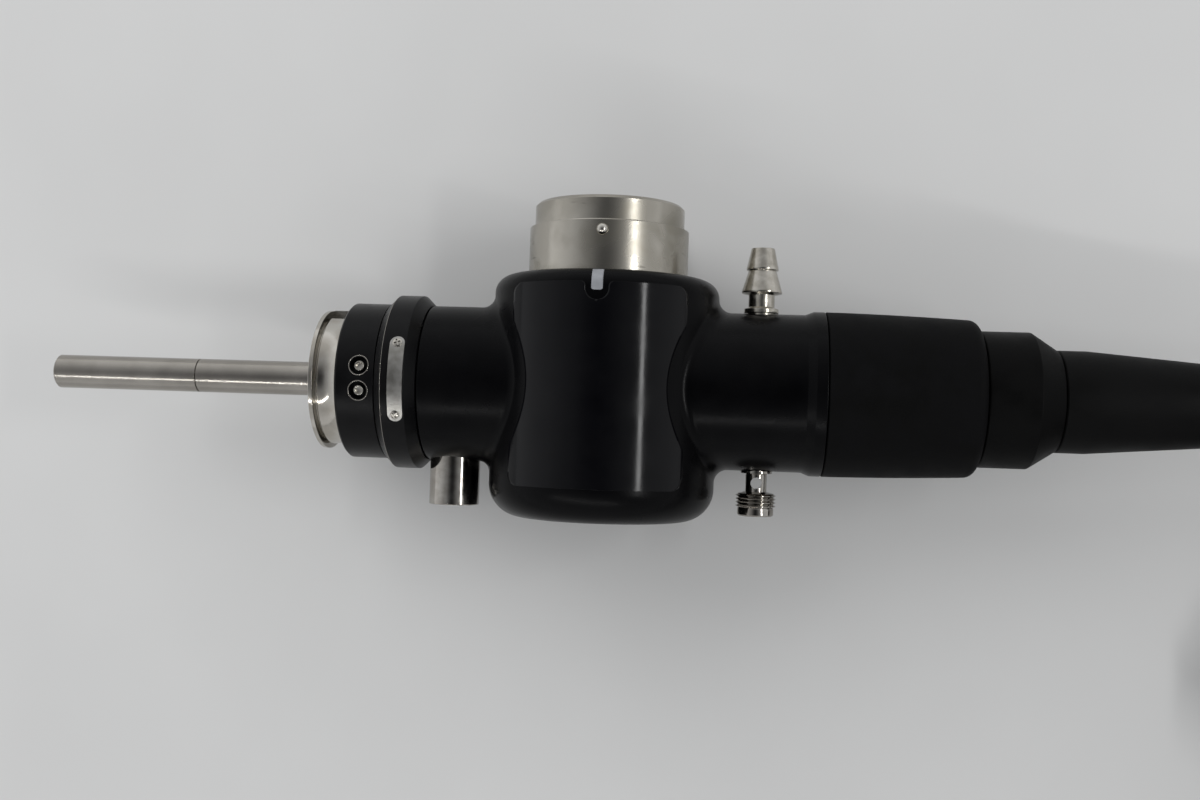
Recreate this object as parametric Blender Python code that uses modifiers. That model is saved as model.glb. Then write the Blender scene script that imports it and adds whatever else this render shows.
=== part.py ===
"""A flexible gastroscope: light source connector, universal cord, control section,
insertion tube and bending section. Metres, +Z up. The origin is the centre of the
light guide's entry face, and +X runs along the connector towards its cord."""

import math

import bmesh
import bpy
from mathutils import Euler, Matrix, Vector

MM = 0.001
SEAT_GAP = 0.3 * MM  # between pieces that touch
FLOOR_Z = -32.7 * MM  # the surface that the cross barrel rests on

# Light source connector, along X
ROD_RADIUS = 5.0 * MM
ROD_TIP_CHAMFER = 0.4 * MM
ROD_SEAM_X = 43.0 * MM
ROD_SEAM_DEPTH = 0.2 * MM
GLASS_RADIUS = 2.6 * MM
GLASS_LENGTH = 3.0 * MM
FLANGE_X = 83.8 * MM
FLANGE_RIM_RADIUS = 20.4 * MM
FLANGE_RIM_THICKNESS = 1.2 * MM
FLANGE_GROOVE_RADIUS = 17.6 * MM
FLANGE_GROOVE_WIDTH = 0.9 * MM
FLANGE_DRUM_FRONT_RADIUS = 19.1 * MM
FLANGE_DRUM_WAIST = 0.5 * MM
FLANGE_DRUM_RADIUS = 19.8 * MM
ROD_SOCKET_DEPTH = 5.0 * MM
KEY_WIDTH = 1.6 * MM
KEY_HEIGHT = 1.1 * MM
AIR_PIPE_RADIUS = 2.0 * MM
AIR_PIPE_BORE = 1.2 * MM
AIR_PIPE_LENGTH = 24.0 * MM
AIR_PIPE_DROP = 12.0 * MM
COLLAR_X = 92.0 * MM
COLLAR_RADIUS = 22.8 * MM
COLLAR_CHAMFER = 0.6 * MM
COLLAR_SCREW_X = 99.0 * MM
COLLAR_SCREW_ANGLE = math.radians(9.0)
SCREW_POCKET_RADIUS = 2.45 * MM
SCREW_POCKET_DEPTH = 2.4 * MM
SCREW_HEAD_RADIUS = 2.0 * MM
SCREW_HEAD_HEIGHT = 1.4 * MM
SCREW_HEX_RADIUS = 0.9 * MM
RING_X = 103.6 * MM
RING_FRONT_CHAMFER = 2.4 * MM
RING_BACK_CHAMFER = 2.7 * MM
RING_END_X = 115.2 * MM
RING_RADIUS = 25.45 * MM
SPIGOT_RADIUS = 17.0 * MM
PLATE_WIDTH = 5.0 * MM
PLATE_HALF_ANGLE = math.radians(27.4)
PLATE_THICKNESS = 0.5 * MM
PLATE_X = 109.9 * MM
PLATE_SCREW_ANGLE = math.radians(22.5)
PLATE_SCREW_RADIUS = 1.3 * MM
PLATE_SCREW_HEIGHT = 0.5 * MM

# Housing: a front and a rear barrel along X and a cross barrel along Y
FRONT_BARREL_RADIUS = 22.6 * MM
REAR_BARREL_RADIUS = 22.7 * MM
BODY_X = 166.25 * MM
BODY_RADIUS = 32.7 * MM
BODY_BOTTOM_Y = -38.0 * MM
BODY_TOP_Y = 31.5 * MM
BODY_BOTTOM_FILLET = 9.5 * MM
BODY_TOP_FILLET = 5.0 * MM
SADDLE_FILLET = 3.6 * MM
FLARE_X = 223.6 * MM
FLARE_LENGTH = 2.4 * MM
FLARE_RADIUS = 23.64 * MM
SLEEVE_X = 229.4 * MM
SLEEVE_END_X = 272.0 * MM
SLEEVE_END_RADIUS = 22.45 * MM
SLEEVE_ROUNDING = 3.0 * MM
SLEEVE_BORE = 19.4 * MM
NOSE_RADIUS = 19.4 * MM
NOSE_CONE_X = 286.4 * MM
NOSE_END_X = 293.9 * MM
BOOT_ROOT_RADIUS = 12.0 * MM
BOOT_ROOT_LENGTH = 15.0 * MM
BOOT_RADIUS = 14.5 * MM
BOOT_TAPER_X = 302.5 * MM
BOOT_END_X = 390.0 * MM
BOOT_END_RADIUS = 7.4 * MM
BOOT_END_ROUNDING = 1.2 * MM

# Electrical socket on the cross barrel, along Y
SOCKET_SEAT_Y = 14.0 * MM
SOCKET_RADIUS = 23.2 * MM
SOCKET_STEP_Y = 45.8 * MM
SOCKET_NECK_RADIUS = 21.8 * MM
SOCKET_TOP_Y = 53.0 * MM
SOCKET_TOP_BEVEL = 0.9 * MM
SOCKET_WALL = 2.6 * MM
BAYONET_Y = 43.0 * MM
BAYONET_RADIUS = 1.7 * MM
BAYONET_HEIGHT = 1.6 * MM
CONTACT_BLOCK_TOP_Y = 33.0 * MM
CONTACT_PIN_RADIUS = 0.9 * MM
CONTACT_PIN_HEIGHT = 6.5 * MM
CONTACT_CIRCLES = ((13.5 * MM, 12), (7.0 * MM, 6))

# Ports on the barrels
PORT_X = 211.1 * MM
BARB_STEM_RADIUS = 4.0 * MM
BARB_STEM_DEPTH = 4.0 * MM
BARB_FOOT_RADIUS = 4.95 * MM
BARB_FOOT_HEIGHT = 1.3 * MM
BARB_NECK_RADIUS = 3.75 * MM
BARB_STATIONS_Y = (29.0 * MM, 35.7 * MM, 41.7 * MM)
BARB_BASE_RADII = (5.8 * MM, 4.6 * MM)
BARB_TOP_RADII = (4.0 * MM, 3.35 * MM)
BARB_BORE_RADIUS = 2.4 * MM
BARB_BORE_DEPTH = 16.0 * MM
VENT_NECK_RADIUS = 3.05 * MM
VENT_HEAD_Y = 29.1 * MM
VENT_HEAD_RADIUS = 5.6 * MM
VENT_THREAD_LENGTH = 4.4 * MM
VENT_END_Y = 35.6 * MM
VENT_END_RADIUS = 5.2 * MM
VENT_HOLE_Y = 26.6 * MM
VENT_HOLE_RADIUS = 1.65 * MM
VENT_SLOT_WIDTH = 1.2 * MM
VENT_SLOT_DEPTH = 1.2 * MM
SUPPLY_X = 122.85 * MM
SUPPLY_RADIUS = 7.3 * MM
SUPPLY_END_Y = 35.6 * MM
SUPPLY_ROOT_Y = 17.0 * MM
SUPPLY_BORE_RADIUS = 5.4 * MM
SUPPLY_BORE_DEPTH = 12.0 * MM

# Universal cord, from the connector to the control section
CORD_RADIUS = 6.5 * MM
CORD_COIL_RADIUS = 71.5 * MM
CORD_COIL_X = 576.0 * MM
CORD_COIL_TURNS = 2.597
CORD_COIL_PITCH = 13.2 * MM
CORD_FLOOR_GAP = 0.1 * MM
CORD_LEAD_ROUTE = (
    (0.3905, 0.0, 0.0),
    (0.3960, 0.0, -0.0001),
    (0.4060, 0.0, -0.0020),
    (0.4250, 0.0, -0.0090),
    (0.4480, 0.0, -0.0190),
    (0.4680, 0.0, -0.0250),
    (0.4850, 0.0, -0.0260),
    (0.5100, 0.0, -0.0260),
    (0.5319, 0.0, -0.0260),
)

# Control section, in its own frame: x from its head to the insertion tube, y to the
# left, where the universal cord leaves, and z to the front, where the valves are
CONTROL_X = 411.0 * MM
CONTROL_HEAD_Y = -17.0 * MM
CONTROL_Z = -8.2 * MM
BODY_HALF_WIDTH = 17.0 * MM
BODY_LENGTH = 95.0 * MM
BODY_FRONT_Z = 17.0 * MM
BODY_END_HALF = 13.5 * MM
BODY_HEAD_HALF = 13.0 * MM
BODY_EDGE = 4.5 * MM
GRIP_LENGTH = 80.0 * MM
GRIP_SWELL_X = 16.0 * MM  # from the grip's start to its fullest place, and to its waist
GRIP_WAIST_X = 44.0 * MM
GRIP_RADII = (13.5 * MM, 15.0 * MM, 14.4 * MM, 12.4 * MM)
TUBE_BOOT_LENGTH = 45.0 * MM
TUBE_BOOT_RADIUS = 10.5 * MM
TUBE_BOOT_END_RADIUS = 6.2 * MM
CORD_PORT_ANGLE = math.radians(35.0)  # from straight left towards the insertion tube
CORD_PORT_X = 26.2 * MM
CORD_BOSS_RADIUS = 12.0 * MM
CORD_BOSS_END = 29.0 * MM
CORD_BOOT_RADIUS = 10.5 * MM
CORD_BOOT_END_RADIUS = 7.4 * MM
CORD_BOOT_LENGTH = 45.0 * MM

# Angulation knobs on the right-hand side, stacked along one spindle
KNOB_X = 62.0 * MM
KNOB_STACK_GAP = 0.4 * MM
SPINDLE_RADIUS = 3.5 * MM
KNOB_BOSS_RADIUS = 13.0 * MM
KNOB_BOSS_HEIGHT = 3.0 * MM
LEVER_THICKNESS = 3.6 * MM
LEVER_HUB_RADIUS = 12.5 * MM
LEVER_REACH = 31.0 * MM
LEVER_TIP_RADIUS = 4.0 * MM
LEVER_ANGLE = math.radians(160.0)
UP_KNOB_RADIUS = 24.0 * MM
UP_KNOB_THICKNESS = 9.0 * MM
UP_KNOB_LOBES = 6
SIDE_KNOB_RADIUS = 18.5 * MM
SIDE_KNOB_THICKNESS = 8.0 * MM
SIDE_KNOB_LOBES = 5
KNOB_SCALLOP = 3.0 * MM
BRAKE_KNOB_RADIUS = 10.0 * MM
BRAKE_KNOB_THICKNESS = 6.5 * MM

# Valves, remote switches and instrument channel port
SUCTION_X = 42.0 * MM
AIR_WATER_X = 68.0 * MM
VALVE_COLLAR_RADIUS = 8.0 * MM
VALVE_COLLAR_HEIGHT = 4.0 * MM
VALVE_STEM_RADIUS = 4.2 * MM
VALVE_STEM_DEPTH = 9.0 * MM
VALVE_CAP_RADIUS = 6.6 * MM
VALVE_CAP_HEIGHT = 4.6 * MM
VALVE_TRAVEL = 3.0 * MM
SWITCH_RADIUS = 3.6 * MM
SWITCH_STAND = 1.6 * MM
SWITCH_DEPTH = 2.2 * MM
SWITCH_TRAVEL = 1.0 * MM
SWITCH_SPREAD = 4.7 * MM
FRONT_SWITCH_X = 18.0 * MM
CHANNEL_SETBACK = 5.0 * MM  # from the grip's end to the channel's axis
CHANNEL_ANGLE = math.radians(40.0)  # from the front towards the head
CHANNEL_BOSS_RADIUS = 8.0 * MM
CHANNEL_BOSS_END = 26.0 * MM
CHANNEL_TUBE_RADIUS = 5.0 * MM
CHANNEL_TUBE_LENGTH = 6.0 * MM
CHANNEL_BORE_RADIUS = 1.9 * MM
CAP_RADIUS = 7.6 * MM
CAP_LENGTH = 9.0 * MM
LID_RADIUS = 6.6 * MM
LID_THICKNESS = 2.6 * MM
LID_EAR = 3.0 * MM

# Insertion tube, bending section and distal end
TUBE_RADIUS = 4.75 * MM
TUBE_COIL_RADIUS = 55.0 * MM
TUBE_COIL_Y = -283.0 * MM
TUBE_COIL_TURNS = 2.25
TUBE_COIL_PITCH = 9.7 * MM
TUBE_END_X = 591.4 * MM
LINK_RADIUS = 4.3 * MM
LINK_BORE = 2.7 * MM
LINK_PITCH = 9.0 * MM
LINK_SETBACK = 2.4 * MM  # from a joint's axis to the ends of the rings beside it
LINK_JOINTS = 8
TONGUE_RADIUS = 1.7 * MM
TONGUE_THICKNESS = 0.55 * MM
OUTER_TONGUE_INNER_FACE = 3.75 * MM
INNER_TONGUE_OUTER_FACE = 3.45 * MM
RIVET_RADIUS = 0.55 * MM
RIVET_CLEARANCE = 0.3 * MM
TIP_RADIUS = 4.9 * MM
TIP_LENGTH = 16.0 * MM
TIP_ROUNDING = 0.8 * MM
CHANNEL_RADIUS = 1.4 * MM

COARSE_STEPS = 20  # facets round a small, a middling and a large turned piece
MIDDLE_STEPS = 28
FINE_STEPS = 40

for old in list(bpy.data.objects):
    bpy.data.objects.remove(old, do_unlink=True)
PARTS = bpy.data.collections.new("flexible_endoscope")
CUTTERS = bpy.data.collections.new("cutters")
bpy.context.scene.collection.children.link(PARTS)
bpy.context.scene.collection.children.link(CUTTERS)

ALONG_X = Euler((0.0, math.radians(90.0), 0.0))  # turns local Z to +X
ALONG_Y = Euler((math.radians(-90.0), 0.0, 0.0))
AGAINST_Y = Euler((math.radians(90.0), 0.0, 0.0))
UPRIGHT = Euler((0.0, 0.0, 0.0))


def finish(name, colour, roughness, metallic):
    made = bpy.data.materials.new(name)
    made.use_nodes = True
    shader = made.node_tree.nodes["Principled BSDF"]
    shader.inputs["Base Color"].default_value = (*colour, 1.0)
    shader.inputs["Roughness"].default_value = roughness
    shader.inputs["Metallic"].default_value = metallic
    return made


STEEL = finish("stainless_steel", (0.62, 0.61, 0.58), 0.25, 1.0)
BLACK = finish("black_moulding", (0.012, 0.012, 0.013), 0.38, 0.0)
RUBBER = finish("black_rubber", (0.016, 0.016, 0.017), 0.62, 0.0)
GREY = finish("grey_moulding", (0.16, 0.17, 0.18), 0.45, 0.0)
GLASS = finish("light_guide_glass", (0.75, 0.80, 0.80), 0.05, 0.0)
RED = finish("red_button", (0.55, 0.02, 0.02), 0.35, 0.0)
BLUE = finish("blue_button", (0.02, 0.10, 0.45), 0.35, 0.0)


def place(obj, surface, at=(0.0, 0.0, 0.0), turn=UPRIGHT, parent=None, collection=PARTS):
    collection.objects.link(obj)
    obj.location = at
    obj.rotation_euler = turn
    obj.parent = parent
    if surface:
        obj.data.materials.clear()
        obj.data.materials.append(surface)
    return obj


def turned(name, profile, surface, steps, at=(0.0, 0.0, 0.0), turn=ALONG_X, parent=None, ring=False):
    """A turned piece. The profile is (place along the axis, radius), with the outer side
    running along the axis, and it closes on itself for a ring and on the axis otherwise."""
    mesh = bpy.data.meshes.new(name)
    points = [(radius, 0.0, along) for along, radius in reversed(profile)]
    edges = [(i, i + 1) for i in range(len(points) - 1)]
    if ring:
        edges.append((len(points) - 1, 0))
    mesh.from_pydata(points, edges, [])
    obj = place(bpy.data.objects.new(name, mesh), surface, at, turn, parent)
    screw = obj.modifiers.new("turned", "SCREW")
    screw.steps = steps
    screw.render_steps = steps
    screw.use_merge_vertices = True
    screw.merge_threshold = 0.000001
    screw.use_smooth_shade = True
    return obj


def rounded(centre_along, centre_radius, size, start, end, pieces):
    """Points of a round edge on a turned profile, by angle from the axis direction."""
    angles = [math.radians(start + (end - start) * i / pieces) for i in range(pieces + 1)]
    return [(centre_along + size * math.cos(a), centre_radius + size * math.sin(a)) for a in angles]


def settled(obj):
    """The object with its modifiers applied to its own mesh."""
    bpy.context.view_layer.update()
    graph = bpy.context.evaluated_depsgraph_get()
    mesh = bpy.data.meshes.new_from_object(obj.evaluated_get(graph))
    obj.modifiers.clear()
    obj.data = mesh
    return obj


def flat_piece(name, outline, thickness, surface, at=(0.0, 0.0, 0.0), turn=UPRIGHT, parent=None,
               collection=PARTS):
    """A piece cut from flat stock: an outline in local X and Y, centred on its thickness."""
    curve = bpy.data.curves.new(name, "CURVE")
    curve.dimensions = "2D"
    curve.fill_mode = "BOTH"
    curve.extrude = thickness / 2.0
    spline = curve.splines.new("POLY")
    spline.points.add(len(outline) - 1)
    for point, (x, y) in zip(spline.points, outline):
        point.co = (x, y, 0.0, 1.0)
    spline.use_cyclic_u = True
    drawn = bpy.data.objects.new(name + "_outline", curve)
    bpy.context.scene.collection.objects.link(drawn)
    bpy.context.view_layer.update()
    graph = bpy.context.evaluated_depsgraph_get()
    mesh = bpy.data.meshes.new_from_object(drawn.evaluated_get(graph))
    bpy.data.objects.remove(drawn)
    shape = bmesh.new()
    shape.from_mesh(mesh)
    bmesh.ops.remove_doubles(shape, verts=shape.verts, dist=0.000001)
    bmesh.ops.recalc_face_normals(shape, faces=shape.faces)
    shape.to_mesh(mesh)
    shape.free()
    return place(bpy.data.objects.new(name, mesh), surface, at, turn, parent, collection)


def helper(obj):
    obj.hide_render = True
    obj.display_type = "WIRE"
    return obj


def round_bar(name, radius, start, end, at, turn, steps=COARSE_STEPS, parent=None):
    """A plain cylinder for cutting or joining, from start to end along the turned Z axis."""
    shape = bmesh.new()
    bmesh.ops.create_cone(shape, cap_ends=True, segments=steps, radius1=radius, radius2=radius,
                          depth=end - start, matrix=Matrix.Translation((0.0, 0.0, (start + end) / 2.0)))
    mesh = bpy.data.meshes.new(name)
    shape.to_mesh(mesh)
    shape.free()
    return helper(place(bpy.data.objects.new(name, mesh), None, at, turn, parent, CUTTERS))


def block(name, size, at, parent=None):
    shape = bmesh.new()
    bmesh.ops.create_cube(shape, size=1.0, matrix=Matrix.Diagonal((*size, 1.0)))
    mesh = bpy.data.meshes.new(name)
    shape.to_mesh(mesh)
    shape.free()
    return helper(place(bpy.data.objects.new(name, mesh), None, at, UPRIGHT, parent, CUTTERS))


def boolean(obj, other, operation):
    modifier = obj.modifiers.new(operation.lower() + "_" + other.name, "BOOLEAN")
    modifier.operation = operation
    modifier.object = other
    modifier.solver = "EXACT"
    return obj


def cut(obj, other):
    return boolean(obj, other, "DIFFERENCE")


def join(obj, other):
    return boolean(obj, other, "UNION")


def round_edges(obj, width, segments=2):
    bevel = obj.modifiers.new("rounded_edges", "BEVEL")
    bevel.width = width
    bevel.segments = segments
    bevel.limit_method = "ANGLE"
    bevel.angle_limit = math.radians(35.0)
    return obj


def shade(obj):
    for face in obj.data.polygons:
        face.use_smooth = True
    obj.data.set_sharp_from_angle(angle=math.radians(35.0))
    return obj


# Light guide rod, its glass and the air pipe under it
rod_end_x = FLANGE_X + ROD_SOCKET_DEPTH
light_guide_rod = turned("light_guide_rod", [
    (0.0, 0.0),
    (0.0, ROD_RADIUS - ROD_TIP_CHAMFER),
    (ROD_TIP_CHAMFER, ROD_RADIUS),
    (ROD_SEAM_X - ROD_SEAM_DEPTH, ROD_RADIUS),
    (ROD_SEAM_X, ROD_RADIUS - ROD_SEAM_DEPTH),
    (ROD_SEAM_X + ROD_SEAM_DEPTH, ROD_RADIUS),
    (rod_end_x, ROD_RADIUS),
    (rod_end_x, 0.0),
], STEEL, MIDDLE_STEPS)
cut(light_guide_rod, round_bar("glass_seat", GLASS_RADIUS + SEAT_GAP, -1.0 * MM,
                               GLASS_LENGTH + SEAT_GAP, (0.0, 0.0, 0.0), ALONG_X))
turned("light_guide_glass", [
    (0.0, 0.0),
    (0.0, GLASS_RADIUS),
    (GLASS_LENGTH, GLASS_RADIUS),
    (GLASS_LENGTH, 0.0),
], GLASS, COARSE_STEPS)
air_pipe = turned("air_pipe", [
    (-AIR_PIPE_LENGTH, AIR_PIPE_BORE),
    (-AIR_PIPE_LENGTH, AIR_PIPE_RADIUS),
    (-SEAT_GAP, AIR_PIPE_RADIUS),
    (-SEAT_GAP, AIR_PIPE_BORE),
], STEEL, 16, at=(FLANGE_X, 0.0, -AIR_PIPE_DROP), ring=True)

# Front flange: a thin rim, a groove and a hollow drum, with a key post across the groove
drum_x = FLANGE_X + FLANGE_RIM_THICKNESS + FLANGE_GROOVE_WIDTH
drum_end_x = COLLAR_X - SEAT_GAP
drum = []
for i in range(5):
    share = i / 4.0
    radius = FLANGE_DRUM_FRONT_RADIUS + (FLANGE_DRUM_RADIUS - FLANGE_DRUM_FRONT_RADIUS) * share
    drum.append((drum_x + (drum_end_x - drum_x) * share,
                 radius - FLANGE_DRUM_WAIST * math.sin(math.pi * share)))
front_flange = turned("front_flange", [
    (FLANGE_X, 0.0),
    (FLANGE_X, FLANGE_RIM_RADIUS - 0.3 * MM),
    (FLANGE_X + 0.3 * MM, FLANGE_RIM_RADIUS),
    (FLANGE_X + FLANGE_RIM_THICKNESS, FLANGE_RIM_RADIUS),
    (FLANGE_X + FLANGE_RIM_THICKNESS, FLANGE_GROOVE_RADIUS),
    (drum_x, FLANGE_GROOVE_RADIUS),
    *drum,
    (drum_end_x, 0.0),
], STEEL, FINE_STEPS)
cut(front_flange, round_bar("rod_socket", ROD_RADIUS + SEAT_GAP, FLANGE_X - 1.0 * MM,
                            rod_end_x + SEAT_GAP, (0.0, 0.0, 0.0), ALONG_X, MIDDLE_STEPS))
key_length = COLLAR_X - FLANGE_X - FLANGE_RIM_THICKNESS - 2.0 * SEAT_GAP
locating_key = block("locating_key_form", (key_length, KEY_HEIGHT, KEY_WIDTH), (0.0, 0.0, 0.0))
locating_key.name = "locating_key"
CUTTERS.objects.unlink(locating_key)
locating_key.hide_render = False
locating_key.display_type = "TEXTURED"
place(locating_key, STEEL, (FLANGE_X + FLANGE_RIM_THICKNESS + SEAT_GAP + key_length / 2.0,
                            FLANGE_DRUM_RADIUS + SEAT_GAP + KEY_HEIGHT / 2.0, 0.0))

# Black collar and clamp ring, slipped over the housing's spigot
front_collar = turned("front_collar", [
    (COLLAR_X, SPIGOT_RADIUS + SEAT_GAP),
    (COLLAR_X, COLLAR_RADIUS - COLLAR_CHAMFER),
    (COLLAR_X + COLLAR_CHAMFER, COLLAR_RADIUS),
    (RING_X - SEAT_GAP, COLLAR_RADIUS),
    (RING_X - SEAT_GAP, SPIGOT_RADIUS + SEAT_GAP),
], BLACK, FINE_STEPS, ring=True)
for number, side in ((1, 1.0), (2, -1.0)):
    angle = side * COLLAR_SCREW_ANGLE
    outward = Euler((-angle, 0.0, 0.0))
    cut(front_collar, round_bar("screw_pocket_%d" % number, SCREW_POCKET_RADIUS,
                                COLLAR_RADIUS - SCREW_POCKET_DEPTH, COLLAR_RADIUS + 2.0 * MM,
                                (COLLAR_SCREW_X, 0.0, 0.0), outward, 20))
    head_z = COLLAR_RADIUS - SCREW_POCKET_DEPTH + SEAT_GAP
    screw = turned("collar_screw_%d" % number, [
        (head_z, 0.0),
        (head_z, SCREW_HEAD_RADIUS),
        (head_z + SCREW_HEAD_HEIGHT, SCREW_HEAD_RADIUS),
        (head_z + SCREW_HEAD_HEIGHT, 0.0),
    ], STEEL, 16, at=(COLLAR_SCREW_X, 0.0, 0.0), turn=outward)
    cut(screw, round_bar("screw_hex_%d" % number, SCREW_HEX_RADIUS, head_z + SCREW_HEAD_HEIGHT / 2.0,
                         head_z + SCREW_HEAD_HEIGHT + 1.0 * MM, (COLLAR_SCREW_X, 0.0, 0.0), outward, 6))
clamp_ring = turned("clamp_ring", [
    (RING_X, SPIGOT_RADIUS + SEAT_GAP),
    (RING_X, RING_RADIUS - RING_FRONT_CHAMFER),
    (RING_X + RING_FRONT_CHAMFER, RING_RADIUS),
    (RING_END_X - RING_BACK_CHAMFER, RING_RADIUS),
    (RING_END_X, RING_RADIUS - RING_BACK_CHAMFER),
    (RING_END_X, SPIGOT_RADIUS + SEAT_GAP),
], BLACK, FINE_STEPS, ring=True)

# Bent plate on the clamp ring, with a screw at each end
plate_radius = RING_RADIUS + SEAT_GAP
plate = turned("ring_plate", [
    (PLATE_X - PLATE_WIDTH / 2.0, plate_radius),
    (PLATE_X - PLATE_WIDTH / 2.0, plate_radius + PLATE_THICKNESS),
    (PLATE_X + PLATE_WIDTH / 2.0, plate_radius + PLATE_THICKNESS),
    (PLATE_X + PLATE_WIDTH / 2.0, plate_radius),
], STEEL, 60, ring=True)
plate_reach = plate_radius * math.sin(PLATE_HALF_ANGLE)
stadium = []
for side, start in ((1.0, 0.0), (-1.0, 180.0)):
    middle = side * (plate_reach - PLATE_WIDTH / 2.0)
    for i in range(9):
        a = math.radians(start + 22.5 * i)
        stadium.append((PLATE_X + PLATE_WIDTH / 2.0 * math.cos(a), middle + PLATE_WIDTH / 2.0 * math.sin(a)))
plate_form = helper(flat_piece("plate_form", stadium, 20.0 * MM, None, (0.0, 0.0, plate_radius),
                               collection=CUTTERS))
boolean(plate, plate_form, "INTERSECT")
for number, side in ((1, 1.0), (2, -1.0)):
    outward = Euler((-side * PLATE_SCREW_ANGLE, 0.0, 0.0))
    base = plate_radius + PLATE_THICKNESS + 0.1 * MM
    turned("plate_screw_%d" % number, [
        (base, 0.0),
        (base, PLATE_SCREW_RADIUS),
        (base + PLATE_SCREW_HEIGHT * 0.6, PLATE_SCREW_RADIUS),
        (base + PLATE_SCREW_HEIGHT, PLATE_SCREW_RADIUS * 0.5),
        (base + PLATE_SCREW_HEIGHT, 0.0),
    ], STEEL, 12, at=(PLATE_X, 0.0, 0.0), turn=outward)


def saddle_fillet(name, barrel_radius, side):
    """The hollow blend where a barrel along X runs into the cross barrel: a loft whose
    section follows the saddle curve that the two cylinders share."""
    rings = 46
    sunk = 0.12 * MM
    sections = []
    for i in range(rings):
        a = 2.0 * math.pi * i / rings
        across = Vector((0.0, math.cos(a), math.sin(a)))
        inner = across * (barrel_radius - sunk)
        corner = across * barrel_radius
        outer = across * (barrel_radius + SADDLE_FILLET)
        on_barrel = Vector((math.sqrt(BODY_RADIUS ** 2 - inner.z ** 2) + SADDLE_FILLET, inner.y, inner.z))
        meet = Vector((math.sqrt(BODY_RADIUS ** 2 - corner.z ** 2), corner.y, corner.z))
        on_body = Vector((math.sqrt((BODY_RADIUS - sunk) ** 2 - outer.z ** 2), outer.y, outer.z))
        deep = Vector((meet.x - 4.0 * MM, corner.y * 0.85, corner.z * 0.85))
        section = [on_barrel]
        for step in (0.3, 0.5, 0.7):
            section.append(on_barrel * (1 - step) ** 2 + meet * (2 * step * (1 - step)) + on_body * step ** 2)
        section += [on_body, deep]
        sections.append([Vector((BODY_X + side * p.x, p.y, p.z)) for p in section])
    shape = bmesh.new()
    rows = [[shape.verts.new(p) for p in section] for section in sections]
    for i, row in enumerate(rows):
        after = rows[(i + 1) % rings]
        for j in range(len(row)):
            k = (j + 1) % len(row)
            shape.faces.new((row[j], row[k], after[k], after[j]))
    bmesh.ops.recalc_face_normals(shape, faces=shape.faces)
    mesh = bpy.data.meshes.new(name)
    shape.to_mesh(mesh)
    shape.free()
    return helper(place(bpy.data.objects.new(name, mesh), None, collection=CUTTERS))


# Moulded housing
housing = turned("housing", [
    (BODY_BOTTOM_Y, 0.0),
    *rounded(BODY_BOTTOM_Y + BODY_BOTTOM_FILLET, BODY_RADIUS - BODY_BOTTOM_FILLET, BODY_BOTTOM_FILLET,
             180.0, 90.0, 4),
    *rounded(BODY_TOP_Y - BODY_TOP_FILLET, BODY_RADIUS - BODY_TOP_FILLET, BODY_TOP_FILLET, 90.0, 0.0, 3),
    (BODY_TOP_Y, 0.0),
], BLACK, 48, at=(BODY_X, 0.0, 0.0), turn=ALONG_Y)
barrels = helper(turned("barrels", [
    (COLLAR_X, 0.0),
    (COLLAR_X, SPIGOT_RADIUS),
    (RING_END_X + SEAT_GAP, SPIGOT_RADIUS),
    (RING_END_X + SEAT_GAP, FRONT_BARREL_RADIUS),
    (BODY_X, FRONT_BARREL_RADIUS),
    (BODY_X, REAR_BARREL_RADIUS),
    (FLARE_X, REAR_BARREL_RADIUS),
    (FLARE_X + FLARE_LENGTH, FLARE_RADIUS),
    (SLEEVE_X - SEAT_GAP, FLARE_RADIUS),
    (SLEEVE_X - SEAT_GAP, SLEEVE_BORE - SEAT_GAP),
    (SLEEVE_END_X, SLEEVE_BORE - SEAT_GAP),
    (SLEEVE_END_X, 0.0),
], BLACK, FINE_STEPS))
PARTS.objects.unlink(barrels)
CUTTERS.objects.link(barrels)
join(housing, barrels)
join(housing, saddle_fillet("front_saddle", FRONT_BARREL_RADIUS, -1.0))
join(housing, saddle_fillet("rear_saddle", REAR_BARREL_RADIUS, 1.0))
cut(housing, round_bar("socket_seat", SOCKET_RADIUS + SEAT_GAP, SOCKET_SEAT_Y - SEAT_GAP,
                       BODY_TOP_Y + 5.0 * MM, (BODY_X, 0.0, 0.0), ALONG_Y, FINE_STEPS))
cut(housing, round_bar("barb_seat", BARB_STEM_RADIUS + SEAT_GAP,
                       REAR_BARREL_RADIUS - BARB_STEM_DEPTH - SEAT_GAP, BODY_RADIUS,
                       (PORT_X, 0.0, 0.0), ALONG_Y))
cut(housing, round_bar("vent_seat", VENT_NECK_RADIUS + SEAT_GAP,
                       REAR_BARREL_RADIUS - BARB_STEM_DEPTH - SEAT_GAP, BODY_RADIUS,
                       (PORT_X, 0.0, 0.0), AGAINST_Y, 16))
cut(housing, round_bar("supply_seat", SUPPLY_RADIUS + SEAT_GAP, SUPPLY_ROOT_Y - SEAT_GAP, BODY_RADIUS,
                       (SUPPLY_X, 0.0, 0.0), AGAINST_Y))

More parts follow.
